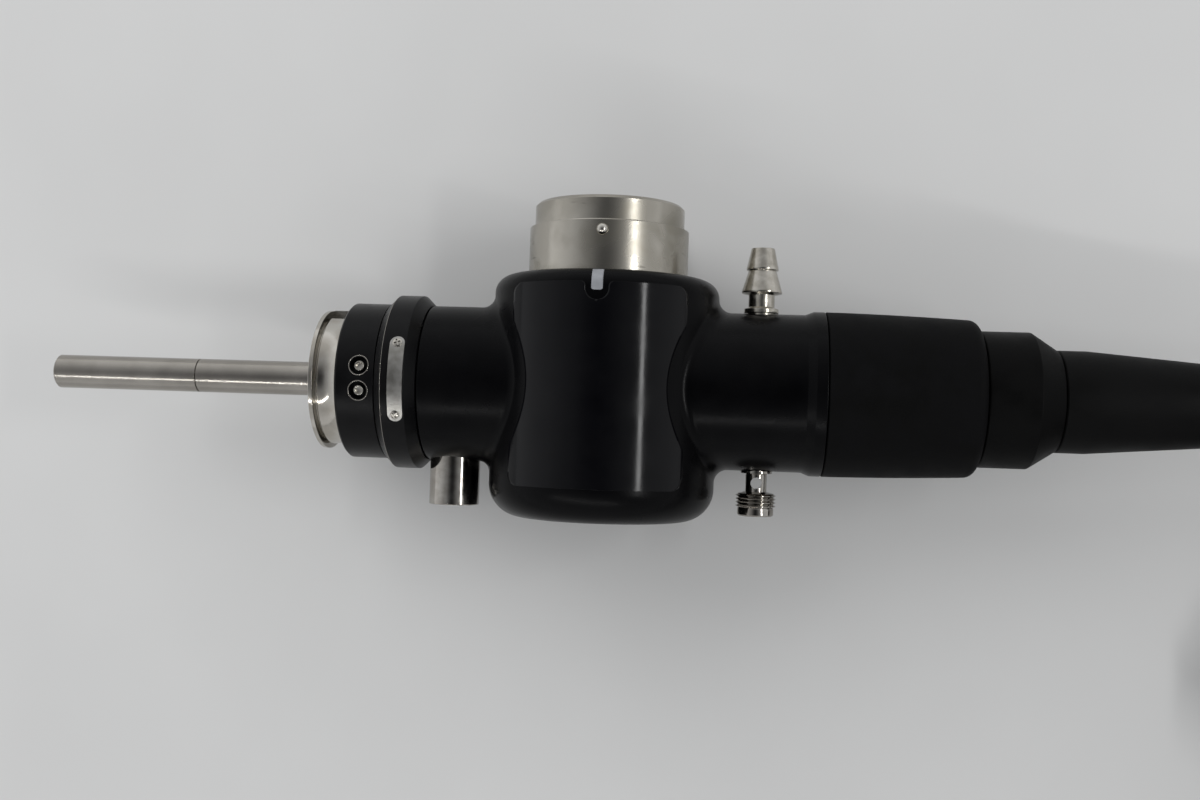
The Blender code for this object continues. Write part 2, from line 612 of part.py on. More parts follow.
# Electrical socket: a stepped steel shell, two bayonet pins and a block of contact pins
turned("socket_shell", [
    (SOCKET_SEAT_Y, SOCKET_NECK_RADIUS - SOCKET_WALL),
    (SOCKET_SEAT_Y, SOCKET_RADIUS),
    (SOCKET_STEP_Y, SOCKET_RADIUS),
    (SOCKET_STEP_Y + 0.4 * MM, SOCKET_NECK_RADIUS),
    (SOCKET_TOP_Y - SOCKET_TOP_BEVEL, SOCKET_NECK_RADIUS),
    (SOCKET_TOP_Y, SOCKET_NECK_RADIUS - SOCKET_TOP_BEVEL),
    (SOCKET_TOP_Y, SOCKET_NECK_RADIUS - SOCKET_WALL),
], STEEL, FINE_STEPS, at=(BODY_X, 0.0, 0.0), turn=ALONG_Y, ring=True)
for number, turn in ((1, UPRIGHT), (2, Euler((math.radians(180.0), 0.0, 0.0)))):
    base = SOCKET_RADIUS + SEAT_GAP
    turned("bayonet_pin_%d" % number, [
        (base, 0.0),
        *rounded(base, 0.0, BAYONET_RADIUS, 90.0, 30.0, 3)[:3],
        (base + BAYONET_HEIGHT, 0.0),
    ], STEEL, 16, at=(BODY_X, BAYONET_Y, 0.0), turn=turn)
contact_block = turned("contact_block", [
    (SOCKET_SEAT_Y, 0.0),
    (SOCKET_SEAT_Y, SOCKET_NECK_RADIUS - SOCKET_WALL - SEAT_GAP),
    (CONTACT_BLOCK_TOP_Y, SOCKET_NECK_RADIUS - SOCKET_WALL - SEAT_GAP),
    (CONTACT_BLOCK_TOP_Y, 0.0),
], BLACK, MIDDLE_STEPS, at=(BODY_X, 0.0, 0.0), turn=ALONG_Y)
for circle, count in CONTACT_CIRCLES:
    for i in range(count):
        a = 2.0 * math.pi * (i + 0.5) / count
        join(contact_block, round_bar(
            "contact_%d_%d" % (count, i), CONTACT_PIN_RADIUS, CONTACT_BLOCK_TOP_Y - 1.0 * MM,
            CONTACT_BLOCK_TOP_Y + CONTACT_PIN_HEIGHT,
            (BODY_X + circle * math.cos(a), 0.0, circle * math.sin(a)), ALONG_Y, 6))

# Suction nipple, venting connector and air and water supply connector
barb_profile = [
    (REAR_BARREL_RADIUS - BARB_STEM_DEPTH, 0.0),
    (REAR_BARREL_RADIUS - BARB_STEM_DEPTH, BARB_STEM_RADIUS),
    (REAR_BARREL_RADIUS + SEAT_GAP, BARB_STEM_RADIUS),
    (REAR_BARREL_RADIUS + SEAT_GAP, BARB_FOOT_RADIUS),
    (REAR_BARREL_RADIUS + SEAT_GAP + BARB_FOOT_HEIGHT, BARB_FOOT_RADIUS),
    (REAR_BARREL_RADIUS + 2.0 * SEAT_GAP + BARB_FOOT_HEIGHT, BARB_NECK_RADIUS),
    (BARB_STATIONS_Y[0] - 0.8 * MM, BARB_NECK_RADIUS),
]
for i in range(2):
    barb_profile += [
        (BARB_STATIONS_Y[i] - 0.3 * MM, BARB_BASE_RADII[i]),
        (BARB_STATIONS_Y[i] + 0.2 * MM, BARB_BASE_RADII[i]),
        (BARB_STATIONS_Y[i + 1] - (0.5 * MM if i == 0 else 0.0), BARB_TOP_RADII[i]),
    ]
barb_profile.append((BARB_STATIONS_Y[2], 0.0))
suction_nipple = turned("suction_nipple", barb_profile, STEEL, COARSE_STEPS, at=(PORT_X, 0.0, 0.0),
                        turn=ALONG_Y)
cut(suction_nipple, round_bar("suction_bore", BARB_BORE_RADIUS, BARB_STATIONS_Y[2] - BARB_BORE_DEPTH,
                              BARB_STATIONS_Y[2] + 1.0 * MM, (PORT_X, 0.0, 0.0), ALONG_Y, 16))
vent_thread_end = VENT_HEAD_Y + VENT_THREAD_LENGTH
venting_connector = turned("venting_connector", [
    (REAR_BARREL_RADIUS - BARB_STEM_DEPTH, 0.0),
    (REAR_BARREL_RADIUS - BARB_STEM_DEPTH, VENT_NECK_RADIUS),
    (VENT_HEAD_Y - 0.4 * MM, VENT_NECK_RADIUS),
    (VENT_HEAD_Y, VENT_HEAD_RADIUS),
    (vent_thread_end, VENT_HEAD_RADIUS),
    (vent_thread_end, VENT_END_RADIUS),
    (VENT_END_Y, VENT_END_RADIUS),
    (VENT_END_Y, 0.0),
], STEEL, COARSE_STEPS, at=(PORT_X, 0.0, 0.0), turn=AGAINST_Y)
cut(venting_connector, round_bar("vent_hole", VENT_HOLE_RADIUS, -6.0 * MM, 6.0 * MM,
                                 (PORT_X, -VENT_HOLE_Y, 0.0), UPRIGHT, 12))
cut(venting_connector, block("vent_slot", (VENT_SLOT_WIDTH, 2.0 * VENT_SLOT_DEPTH, 20.0 * MM),
                             (PORT_X, -VENT_END_Y, 0.0)))
supply_connector = turned("supply_connector", [
    (SUPPLY_ROOT_Y, 0.0),
    (SUPPLY_ROOT_Y, SUPPLY_RADIUS),
    (SUPPLY_END_Y - 0.4 * MM, SUPPLY_RADIUS),
    (SUPPLY_END_Y, SUPPLY_RADIUS - 0.4 * MM),
    (SUPPLY_END_Y, SUPPLY_BORE_RADIUS),
    (SUPPLY_END_Y - SUPPLY_BORE_DEPTH, SUPPLY_BORE_RADIUS),
    (SUPPLY_END_Y - SUPPLY_BORE_DEPTH, 0.0),
], STEEL, MIDDLE_STEPS, at=(SUPPLY_X, 0.0, 0.0), turn=AGAINST_Y)

# Rubber sleeve, cord nut and bend protector
turned("grip_sleeve", [
    (SLEEVE_X, SLEEVE_BORE),
    (SLEEVE_X, FLARE_RADIUS),
    *rounded(SLEEVE_END_X - SLEEVE_ROUNDING, SLEEVE_END_RADIUS - SLEEVE_ROUNDING, SLEEVE_ROUNDING,
             90.0, 0.0, 3),
    (SLEEVE_END_X, SLEEVE_BORE),
], RUBBER, FINE_STEPS, ring=True)
boot_seat_x = NOSE_END_X + SEAT_GAP
turned("cord_nut", [
    (SLEEVE_END_X + SEAT_GAP, BOOT_ROOT_RADIUS + SEAT_GAP),
    (SLEEVE_END_X + SEAT_GAP, NOSE_RADIUS),
    (NOSE_CONE_X, NOSE_RADIUS),
    (NOSE_END_X, BOOT_RADIUS),
    (NOSE_END_X, BOOT_ROOT_RADIUS + SEAT_GAP),
], BLACK, FINE_STEPS, ring=True)
turned("connector_boot", [
    (boot_seat_x - BOOT_ROOT_LENGTH, 0.0),
    (boot_seat_x - BOOT_ROOT_LENGTH, BOOT_ROOT_RADIUS),
    (boot_seat_x, BOOT_ROOT_RADIUS),
    (boot_seat_x, BOOT_RADIUS),
    (BOOT_TAPER_X, BOOT_RADIUS),
    (BOOT_END_X - BOOT_END_ROUNDING, BOOT_END_RADIUS),
    (BOOT_END_X, BOOT_END_RADIUS - BOOT_END_ROUNDING),
    (BOOT_END_X, 0.0),
], RUBBER, MIDDLE_STEPS)


def smooth_route(route, spacing):
    """Points about one spacing apart on a smooth curve through the route's points."""
    points = [Vector(p) for p in route]
    ends = [2.0 * points[0] - points[1], *points, 2.0 * points[-1] - points[-2]]
    found = [points[0]]
    for a, b, c, d in zip(ends, ends[1:], ends[2:], ends[3:]):
        pieces = max(1, round((c - b).length / spacing))
        for i in range(1, pieces + 1):
            t = i / pieces
            found.append(0.5 * (2.0 * b + (c - a) * t + (2.0 * a - 5.0 * b + 4.0 * c - d) * t * t
                                + (3.0 * b - a - 3.0 * c + d) * t ** 3))
    return found


def cord(name, route, radius):
    curve = bpy.data.curves.new(name, "CURVE")
    curve.dimensions = "3D"
    curve.bevel_depth = radius
    curve.bevel_resolution = 2
    curve.use_fill_caps = True
    points = smooth_route(route, 2.5 * 2.0 * radius)
    spline = curve.splines.new("POLY")
    spline.points.add(len(points) - 1)
    for point, where in zip(spline.points, points):
        point.co = (*where, 1.0)
    return place(bpy.data.objects.new(name, curve), RUBBER)


def coil(name, centre, turns_radius, radius, top_z):
    """The outer shape of a coil that stands on the floor."""
    return turned(name, [
        (FLOOR_Z, turns_radius - radius),
        (FLOOR_Z, turns_radius + radius),
        (top_z, turns_radius + radius),
        (top_z, turns_radius - radius),
    ], RUBBER, FINE_STEPS, at=centre, turn=UPRIGHT, ring=True)


# Universal cord: a lead to the floor, a coil wound upwards and a tail to the control section
cord_coil_top = FLOOR_Z + CORD_FLOOR_GAP + 2.0 * CORD_RADIUS + CORD_COIL_TURNS * CORD_COIL_PITCH
cord("universal_cord_lead", CORD_LEAD_ROUTE, CORD_RADIUS)
coil("universal_cord_coil", (CORD_COIL_X, -CORD_COIL_RADIUS, 0.0), CORD_COIL_RADIUS, CORD_RADIUS,
     cord_coil_top)
port_world = Vector((CONTROL_X, CONTROL_HEAD_Y - CORD_PORT_X, CONTROL_Z))
port_way = Vector((math.cos(CORD_PORT_ANGLE), -math.sin(CORD_PORT_ANGLE), 0.0))
cord_boot_end = CORD_BOSS_END + SEAT_GAP + CORD_BOOT_LENGTH
coil_edge = 107.4 * MM  # along the port's axis, where the cord meets the coil's outside
cord("universal_cord_tail", (
    port_world + port_way * coil_edge + Vector((0.0, 0.0, 7.6 * MM)),
    port_world + port_way * (coil_edge - 12.0 * MM) + Vector((0.0, 0.0, 4.0 * MM)),
    port_world + port_way * (coil_edge - 23.0 * MM) + Vector((0.0, 0.0, 1.2 * MM)),
    port_world + port_way * (cord_boot_end + 5.0 * MM) + Vector((0.0, 0.0, 0.1 * MM)),
    port_world + port_way * (cord_boot_end + 1.5 * SEAT_GAP),
), CORD_RADIUS)

# Control section's frame
control = bpy.data.objects.new("control_section", None)
PARTS.objects.link(control)
control.location = (CONTROL_X, CONTROL_HEAD_Y, CONTROL_Z)
control.rotation_euler = (0.0, 0.0, math.radians(-90.0))
bpy.context.view_layer.update()

# Control body: cut to its side outline, with rounded edges, a cord boss and a knob boss
side_outline = [
    (0.0, -BODY_HEAD_HALF),
    (0.0, BODY_HEAD_HALF),
    (7.0 * MM, BODY_FRONT_Z),
    (80.0 * MM, BODY_FRONT_Z),
    (BODY_LENGTH, BODY_END_HALF),
    (BODY_LENGTH, -BODY_END_HALF),
    (78.0 * MM, -BODY_FRONT_Z),
    (10.0 * MM, -BODY_FRONT_Z),
]
STANDING = Euler((math.radians(90.0), 0.0, 0.0))  # local XY to XZ, local Z to -Y
RIGHTWARD = STANDING
control_body = flat_piece("control_body", side_outline, 2.0 * BODY_HALF_WIDTH, BLACK, turn=STANDING,
                          parent=control)
round_edges(control_body, BODY_EDGE, 2)
PORT_TURN = Euler((math.radians(-90.0), 0.0, -CORD_PORT_ANGLE))  # local Z along the cord's port
join(control_body, round_bar("cord_boss", CORD_BOSS_RADIUS, 8.0 * MM, CORD_BOSS_END,
                             (CORD_PORT_X, 0.0, 0.0), PORT_TURN, MIDDLE_STEPS, control))
join(control_body, round_bar("knob_boss", KNOB_BOSS_RADIUS, BODY_HALF_WIDTH - 2.0 * MM,
                             BODY_HALF_WIDTH + KNOB_BOSS_HEIGHT, (KNOB_X, 0.0, 0.0), RIGHTWARD, MIDDLE_STEPS,
                             control))
cut(control_body, round_bar("spindle_seat", SPINDLE_RADIUS + SEAT_GAP, 6.0 * MM - SEAT_GAP, 40.0 * MM,
                            (KNOB_X, 0.0, 0.0), RIGHTWARD, 16, control))
for number, x in ((1, SUCTION_X), (2, AIR_WATER_X)):
    cut(control_body, round_bar("valve_bore_%d" % number, VALVE_STEM_RADIUS + SEAT_GAP,
                                BODY_FRONT_Z - VALVE_STEM_DEPTH - VALVE_TRAVEL - SEAT_GAP,
                                BODY_FRONT_Z + 5.0 * MM, (x, 0.0, 0.0), UPRIGHT, 20, control))

# Four remote switches: two on the head and two on the front
HEADWARD = Euler((0.0, math.radians(-90.0), 0.0))  # local Z towards the head
switch_places = (
    (1, (0.0, 0.0, SWITCH_SPREAD), HEADWARD, 0.0),
    (2, (0.0, 0.0, -SWITCH_SPREAD), HEADWARD, 0.0),
    (3, (FRONT_SWITCH_X, SWITCH_SPREAD, 0.0), UPRIGHT, BODY_FRONT_Z),
    (4, (FRONT_SWITCH_X, -SWITCH_SPREAD, 0.0), UPRIGHT, BODY_FRONT_Z),
)
for number, where, turn, face in switch_places:
    cut(control_body, round_bar("switch_pocket_%d" % number, SWITCH_RADIUS + SEAT_GAP,
                                face - SWITCH_DEPTH - SWITCH_TRAVEL - SEAT_GAP, face + 3.0 * MM,
                                where, turn, 16, control))
    turned("remote_switch_%d" % number, [
        (face - SWITCH_DEPTH, 0.0),
        (face - SWITCH_DEPTH, SWITCH_RADIUS),
        (face + SWITCH_STAND - 0.7 * MM, SWITCH_RADIUS),
        (face + SWITCH_STAND, SWITCH_RADIUS - 0.9 * MM),
        (face + SWITCH_STAND, 0.0),
    ], GREY, 16, at=where, turn=turn, parent=control)

# Grip with its instrument channel boss, and the insertion tube's bend protector
grip_x = BODY_LENGTH + SEAT_GAP
grip_end = BODY_LENGTH + GRIP_LENGTH
grip = turned("grip", [
    (grip_x, 0.0),
    (grip_x, GRIP_RADII[0] - 1.0 * MM),
    (grip_x + 1.0 * MM, GRIP_RADII[0]),
    (grip_x + GRIP_SWELL_X, GRIP_RADII[1]),
    (grip_x + GRIP_WAIST_X, GRIP_RADII[2]),
    (grip_end - 1.5 * MM, GRIP_RADII[3]),
    (grip_end, GRIP_RADII[3] - 1.5 * MM),
    (grip_end, 0.0),
], BLACK, MIDDLE_STEPS, parent=control)
channel_way = Vector((-math.sin(CHANNEL_ANGLE), 0.0, math.cos(CHANNEL_ANGLE)))
CHANNEL_TURN = Euler((0.0, -CHANNEL_ANGLE, 0.0))
channel_at = (grip_end - CHANNEL_SETBACK, 0.0, 0.0)
join(grip, round_bar("channel_boss", CHANNEL_BOSS_RADIUS, 4.0 * MM, CHANNEL_BOSS_END, channel_at,
                     CHANNEL_TURN, COARSE_STEPS, control))
turned("insertion_boot", [
    (grip_end + SEAT_GAP, 0.0),
    (grip_end + SEAT_GAP, TUBE_BOOT_RADIUS),
    (grip_end + 9.0 * MM, TUBE_BOOT_RADIUS),
    (grip_end + TUBE_BOOT_LENGTH - 1.0 * MM, TUBE_BOOT_END_RADIUS),
    (grip_end + TUBE_BOOT_LENGTH, TUBE_BOOT_END_RADIUS - 1.0 * MM),
    (grip_end + TUBE_BOOT_LENGTH, 0.0),
], RUBBER, COARSE_STEPS, parent=control)
turned("universal_cord_boot", [
    (CORD_BOSS_END + SEAT_GAP, 0.0),
    (CORD_BOSS_END + SEAT_GAP, CORD_BOOT_RADIUS),
    (CORD_BOSS_END + 8.0 * MM, CORD_BOOT_RADIUS),
    (cord_boot_end - 1.0 * MM, CORD_BOOT_END_RADIUS),
    (cord_boot_end, CORD_BOOT_END_RADIUS - 1.0 * MM),
    (cord_boot_end, 0.0),
], RUBBER, COARSE_STEPS, at=(CORD_PORT_X, 0.0, 0.0), turn=PORT_TURN, parent=control)

# Angulation knobs, their brakes and the spindle that carries them
lever_face = BODY_HALF_WIDTH + KNOB_BOSS_HEIGHT + KNOB_STACK_GAP
up_face = lever_face + LEVER_THICKNESS + KNOB_STACK_GAP
side_face = up_face + UP_KNOB_THICKNESS + KNOB_STACK_GAP
brake_face = side_face + SIDE_KNOB_THICKNESS + KNOB_STACK_GAP
spindle_end = brake_face + BRAKE_KNOB_THICKNESS - 2.0 * MM
turned("knob_spindle", [
    (6.0 * MM, 0.0),
    (6.0 * MM, SPINDLE_RADIUS),
    (spindle_end, SPINDLE_RADIUS),
    (spindle_end, 0.0),
], STEEL, 16, at=(KNOB_X, 0.0, 0.0), turn=RIGHTWARD, parent=control)


def knob(name, face, thickness, outline, surface, edge=1.2 * MM, bore_from=-5.0 * MM, bore_to=60.0 * MM):
    obj = flat_piece(name, outline, thickness, surface, (KNOB_X, -face - thickness / 2.0, 0.0), STANDING,
                     control)
    round_edges(obj, edge, 1)
    return cut(obj, round_bar(name + "_bore", SPINDLE_RADIUS + SEAT_GAP, bore_from, bore_to,
                              (KNOB_X, 0.0, 0.0), RIGHTWARD, 16, control))


def lobed(radius, lobes, points):
    return [((radius - KNOB_SCALLOP * (0.5 - 0.5 * math.cos(lobes * a))) * math.cos(a),
             (radius - KNOB_SCALLOP * (0.5 - 0.5 * math.cos(lobes * a))) * math.sin(a))
            for a in (2.0 * math.pi * i / points for i in range(points))]


lever_outline = []
for i in range(19):
    a = LEVER_ANGLE + math.radians(25.0) + math.radians(310.0) * i / 18.0
    lever_outline.append((LEVER_HUB_RADIUS * math.cos(a), LEVER_HUB_RADIUS * math.sin(a)))
for i in range(7):
    a = LEVER_ANGLE - math.radians(90.0) + math.radians(180.0) * i / 6.0
    tip = LEVER_REACH - LEVER_TIP_RADIUS
    lever_outline.append((tip * math.cos(LEVER_ANGLE) + LEVER_TIP_RADIUS * math.cos(a),
                          tip * math.sin(LEVER_ANGLE) + LEVER_TIP_RADIUS * math.sin(a)))
knob("up_down_brake_lever", lever_face, LEVER_THICKNESS, lever_outline, BLACK, 0.6 * MM)
knob("up_down_knob", up_face, UP_KNOB_THICKNESS, lobed(UP_KNOB_RADIUS, UP_KNOB_LOBES, 36), BLACK)
knob("left_right_knob", side_face, SIDE_KNOB_THICKNESS, lobed(SIDE_KNOB_RADIUS, SIDE_KNOB_LOBES, 30),
     BLACK)
brake_outline = [(BRAKE_KNOB_RADIUS * math.cos(a), BRAKE_KNOB_RADIUS * math.sin(a))
                 for a in (2.0 * math.pi * i / 20 for i in range(20))]
knob("left_right_brake_knob", brake_face, BRAKE_KNOB_THICKNESS, brake_outline, BLACK,
     bore_to=spindle_end + SEAT_GAP)

# Suction valve and air and water valve, each in its collar
for name, x, surface in (("suction", SUCTION_X, RED), ("air_water", AIR_WATER_X, BLUE)):
    turned(name + "_collar", [
        (BODY_FRONT_Z + SEAT_GAP, VALVE_STEM_RADIUS + SEAT_GAP),
        (BODY_FRONT_Z + SEAT_GAP, VALVE_COLLAR_RADIUS),
        (BODY_FRONT_Z + VALVE_COLLAR_HEIGHT - 0.6 * MM, VALVE_COLLAR_RADIUS),
        (BODY_FRONT_Z + VALVE_COLLAR_HEIGHT, VALVE_COLLAR_RADIUS - 0.6 * MM),
        (BODY_FRONT_Z + VALVE_COLLAR_HEIGHT, VALVE_STEM_RADIUS + SEAT_GAP),
    ], STEEL, COARSE_STEPS, at=(x, 0.0, 0.0), turn=UPRIGHT, parent=control, ring=True)
    cap_z = BODY_FRONT_Z + VALVE_COLLAR_HEIGHT + SEAT_GAP + VALVE_TRAVEL
    turned(name + "_valve", [
        (BODY_FRONT_Z - VALVE_STEM_DEPTH, 0.0),
        (BODY_FRONT_Z - VALVE_STEM_DEPTH, VALVE_STEM_RADIUS),
        (cap_z, VALVE_STEM_RADIUS),
        (cap_z, VALVE_CAP_RADIUS),
        (cap_z + VALVE_CAP_HEIGHT - 1.2 * MM, VALVE_CAP_RADIUS),
        (cap_z + VALVE_CAP_HEIGHT, VALVE_CAP_RADIUS - 1.6 * MM),
        (cap_z + VALVE_CAP_HEIGHT, 0.0),
    ], surface, COARSE_STEPS, at=(x, 0.0, 0.0), turn=UPRIGHT, parent=control)

# Instrument channel port with its rubber cap and hinged lid
tube_start = CHANNEL_BOSS_END + SEAT_GAP
cap_start = tube_start + CHANNEL_TUBE_LENGTH + SEAT_GAP
lid_start = cap_start + CAP_LENGTH + SEAT_GAP
turned("channel_port", [
    (tube_start, CHANNEL_BORE_RADIUS),
    (tube_start, CHANNEL_TUBE_RADIUS + 1.2 * MM),
    (tube_start + 1.4 * MM, CHANNEL_TUBE_RADIUS + 1.2 * MM),
    (tube_start + 1.8 * MM, CHANNEL_TUBE_RADIUS),
    (tube_start + CHANNEL_TUBE_LENGTH, CHANNEL_TUBE_RADIUS),
    (tube_start + CHANNEL_TUBE_LENGTH, CHANNEL_BORE_RADIUS),
], STEEL, COARSE_STEPS, at=channel_at, turn=CHANNEL_TURN, parent=control, ring=True)
channel_cap = turned("channel_cap", [
    (cap_start, CHANNEL_BORE_RADIUS),
    (cap_start, CAP_RADIUS),
    (cap_start + CAP_LENGTH * 0.4, CAP_RADIUS),
    (cap_start + CAP_LENGTH * 0.5, CAP_RADIUS - 1.2 * MM),
    (cap_start + CAP_LENGTH, CAP_RADIUS - 1.2 * MM),
    (cap_start + CAP_LENGTH, CHANNEL_BORE_RADIUS),
], RUBBER, COARSE_STEPS, at=channel_at, turn=CHANNEL_TURN, parent=control, ring=True)
hinge_reach = CAP_RADIUS + LID_EAR / 2.0
lid_at = Vector(channel_at) + channel_way * (lid_start + LID_THICKNESS / 2.0)
lid_outline = []
for i in range(21):
    a = math.radians(25.0 + 310.0 * i / 20.0)
    lid_outline.append((LID_RADIUS * math.cos(a), LID_RADIUS * math.sin(a)))
lid_outline += [(hinge_reach, -LID_EAR / 2.0), (hinge_reach, LID_EAR / 2.0)]
channel_lid = flat_piece("channel_lid", lid_outline, LID_THICKNESS, RUBBER, lid_at, CHANNEL_TURN,
                         control)
round_edges(channel_lid, 0.5 * MM, 1)

# Insertion tube: a short lead, a coil wound down to the floor and a straight end
tube_floor_z = FLOOR_Z + CORD_FLOOR_GAP + TUBE_RADIUS
tube_coil_top = tube_floor_z + TUBE_RADIUS + TUBE_COIL_TURNS * TUBE_COIL_PITCH
tube_boot_y = CONTROL_HEAD_Y - grip_end - TUBE_BOOT_LENGTH
coil_reach = math.sqrt((TUBE_COIL_RADIUS + TUBE_RADIUS + SEAT_GAP) ** 2
                       - (TUBE_COIL_RADIUS - TUBE_RADIUS) ** 2) + SEAT_GAP
cord("insertion_tube_lead", (
    (CONTROL_X, tube_boot_y - 2.0 * SEAT_GAP, CONTROL_Z),
    (CONTROL_X, (tube_boot_y + TUBE_COIL_Y + coil_reach) / 2.0, CONTROL_Z + 0.4 * MM),
    (CONTROL_X, TUBE_COIL_Y + coil_reach, CONTROL_Z + 1.2 * MM),
), TUBE_RADIUS)
tube_coil_x = CONTROL_X + TUBE_COIL_RADIUS
coil("insertion_tube_coil", (tube_coil_x, TUBE_COIL_Y, 0.0), TUBE_COIL_RADIUS, TUBE_RADIUS, tube_coil_top)
tube_y = TUBE_COIL_Y - TUBE_COIL_RADIUS
cord("insertion_tube_end", (
    (tube_coil_x + coil_reach, tube_y, tube_floor_z),
    (0.53, tube_y, tube_floor_z),
    (0.56, tube_y, tube_floor_z),
    (TUBE_END_X, tube_y, tube_floor_z),
), TUBE_RADIUS)


def tongue(name, start, end, face, across):
    """A flat lug beside the tube's axis, round at its end about a joint's axis."""
    back = 1.0 if start > end else -1.0
    outline = [(start, back * TONGUE_RADIUS)]
    for i in range(7):
        a = math.radians(90.0 + 30.0 * i)
        outline.append((end - back * TONGUE_RADIUS * abs(math.cos(a)), back * TONGUE_RADIUS * math.sin(a)))
    outline.append((start, -back * TONGUE_RADIUS))
    lay = UPRIGHT if across == "Z" else Euler((math.radians(90.0), 0.0, 0.0))
    middle = face + TONGUE_THICKNESS / 2.0
    offset = (0.0, 0.0, middle) if across == "Z" else (0.0, middle, 0.0)
    return helper(flat_piece(name, outline, TONGUE_THICKNESS, None, offset, lay, collection=CUTTERS))


def link_mesh(name, near, far, length):
    """A vertebra of the bending section. It has outer tongues with rivets at its near joint,
    at x = 0, and bored inner tongues at its far joint. near and far name those joints' axes,
    and None leaves a joint out."""
    front = LINK_SETBACK if near else 0.0
    back = length - LINK_SETBACK if far else length
    obj = turned(name, [(front, LINK_BORE), (front, LINK_RADIUS), (back, LINK_RADIUS), (back, LINK_BORE)],
                 STEEL, 16, ring=True)
    across = {"Z": UPRIGHT, "Y": ALONG_Y}
    if near:
        for side in (1.0, -1.0):
            face = OUTER_TONGUE_INNER_FACE if side > 0 else -OUTER_TONGUE_INNER_FACE - TONGUE_THICKNESS
            join(obj, tongue("%s_outer_%d" % (name, side), front + 0.8 * MM, 0.0, face, near))
        for side in (1.0, -1.0):
            ends = sorted((side * (INNER_TONGUE_OUTER_FACE - TONGUE_THICKNESS - 0.2 * MM),
                           side * (OUTER_TONGUE_INNER_FACE + 0.3 * MM)))
            join(obj, round_bar("%s_rivet_%d" % (name, side), RIVET_RADIUS, ends[0], ends[1],
                                (0.0, 0.0, 0.0), across[near], 6))
    if far:
        for side in (1.0, -1.0):
            face = INNER_TONGUE_OUTER_FACE - TONGUE_THICKNESS if side > 0 else -INNER_TONGUE_OUTER_FACE
            join(obj, tongue("%s_inner_%d" % (name, side), back - 0.8 * MM, length, face, far))
        cut(obj, round_bar("%s_rivet_holes" % name, RIVET_RADIUS + RIVET_CLEARANCE, -LINK_RADIUS,
                           LINK_RADIUS, (length, 0.0, 0.0), across[far], 8))
    settled(obj)
    mesh = obj.data
    mesh.transform(ALONG_X.to_matrix().to_4x4())
    bpy.data.objects.remove(obj)
    return mesh


# Bending section: riveted vertebrae whose joints turn by turns about Z and about Y
base_length = 7.0 * MM
first_joint_x = TUBE_END_X + SEAT_GAP + base_length
joint_axes = ["Z" if i % 2 == 0 else "Y" for i in range(LINK_JOINTS)]
base = bpy.data.objects.new("bending_base", link_mesh("base_form", None, "Z", base_length))
place(base, STEEL, (TUBE_END_X + SEAT_GAP, tube_y, tube_floor_z))
link_forms = {"Z": link_mesh("link_form_z", "Z", "Y", LINK_PITCH),
              "Y": link_mesh("link_form_y", "Y", "Z", LINK_PITCH)}
for i in range(LINK_JOINTS - 1):
    vertebra = bpy.data.objects.new("vertebra_%d" % (i + 1), link_forms[joint_axes[i]])
    place(vertebra, None, (first_joint_x + i * LINK_PITCH, tube_y, tube_floor_z))
tip_joint_x = first_joint_x + (LINK_JOINTS - 1) * LINK_PITCH
distal_end = turned("distal_end", [
    (LINK_SETBACK + 0.6 * MM, 0.0),
    (LINK_SETBACK + 0.6 * MM, LINK_RADIUS),
    (LINK_SETBACK + 2.0 * MM, TIP_RADIUS),
    (TIP_LENGTH - TIP_ROUNDING, TIP_RADIUS),
    (TIP_LENGTH, TIP_RADIUS - TIP_ROUNDING),
    (TIP_LENGTH, 0.0),
], BLACK, COARSE_STEPS, at=(tip_joint_x, tube_y, tube_floor_z))
for side in (1.0, -1.0):
    face = OUTER_TONGUE_INNER_FACE if side > 0 else -OUTER_TONGUE_INNER_FACE - TONGUE_THICKNESS
    lug = tongue("distal_outer_%d" % side, LINK_SETBACK + 1.6 * MM, 0.0, face, joint_axes[-1])
    rivet_ends = sorted((side * (INNER_TONGUE_OUTER_FACE - TONGUE_THICKNESS - 0.2 * MM),
                         side * (OUTER_TONGUE_INNER_FACE + 0.3 * MM)))
    rivet = round_bar("distal_rivet_%d" % side, RIVET_RADIUS, rivet_ends[0], rivet_ends[1],
                      (0.0, 0.0, 0.0), ALONG_Y, 6)
    for piece in (lug, rivet):
        piece.location += Vector((tip_joint_x, tube_y, tube_floor_z))
        join(distal_end, piece)
cut(distal_end, round_bar("channel_outlet", CHANNEL_RADIUS, TIP_LENGTH - 5.0 * MM,
                          TIP_LENGTH + 1.0 * MM,
                          (tip_joint_x, tube_y - 1.6 * MM, tube_floor_z - 1.8 * MM), ALONG_X, 12))

for obj in PARTS.objects:
    if obj.type == "MESH":
        shade(obj)
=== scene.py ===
"""A flexible gastroscope laid on a pale bench: its light source connector in the camera's
view, and its coiled cord, control section and insertion tube beside it. Metres, +Z up."""

import math

import bmesh
import bpy
from mathutils import Matrix, Vector


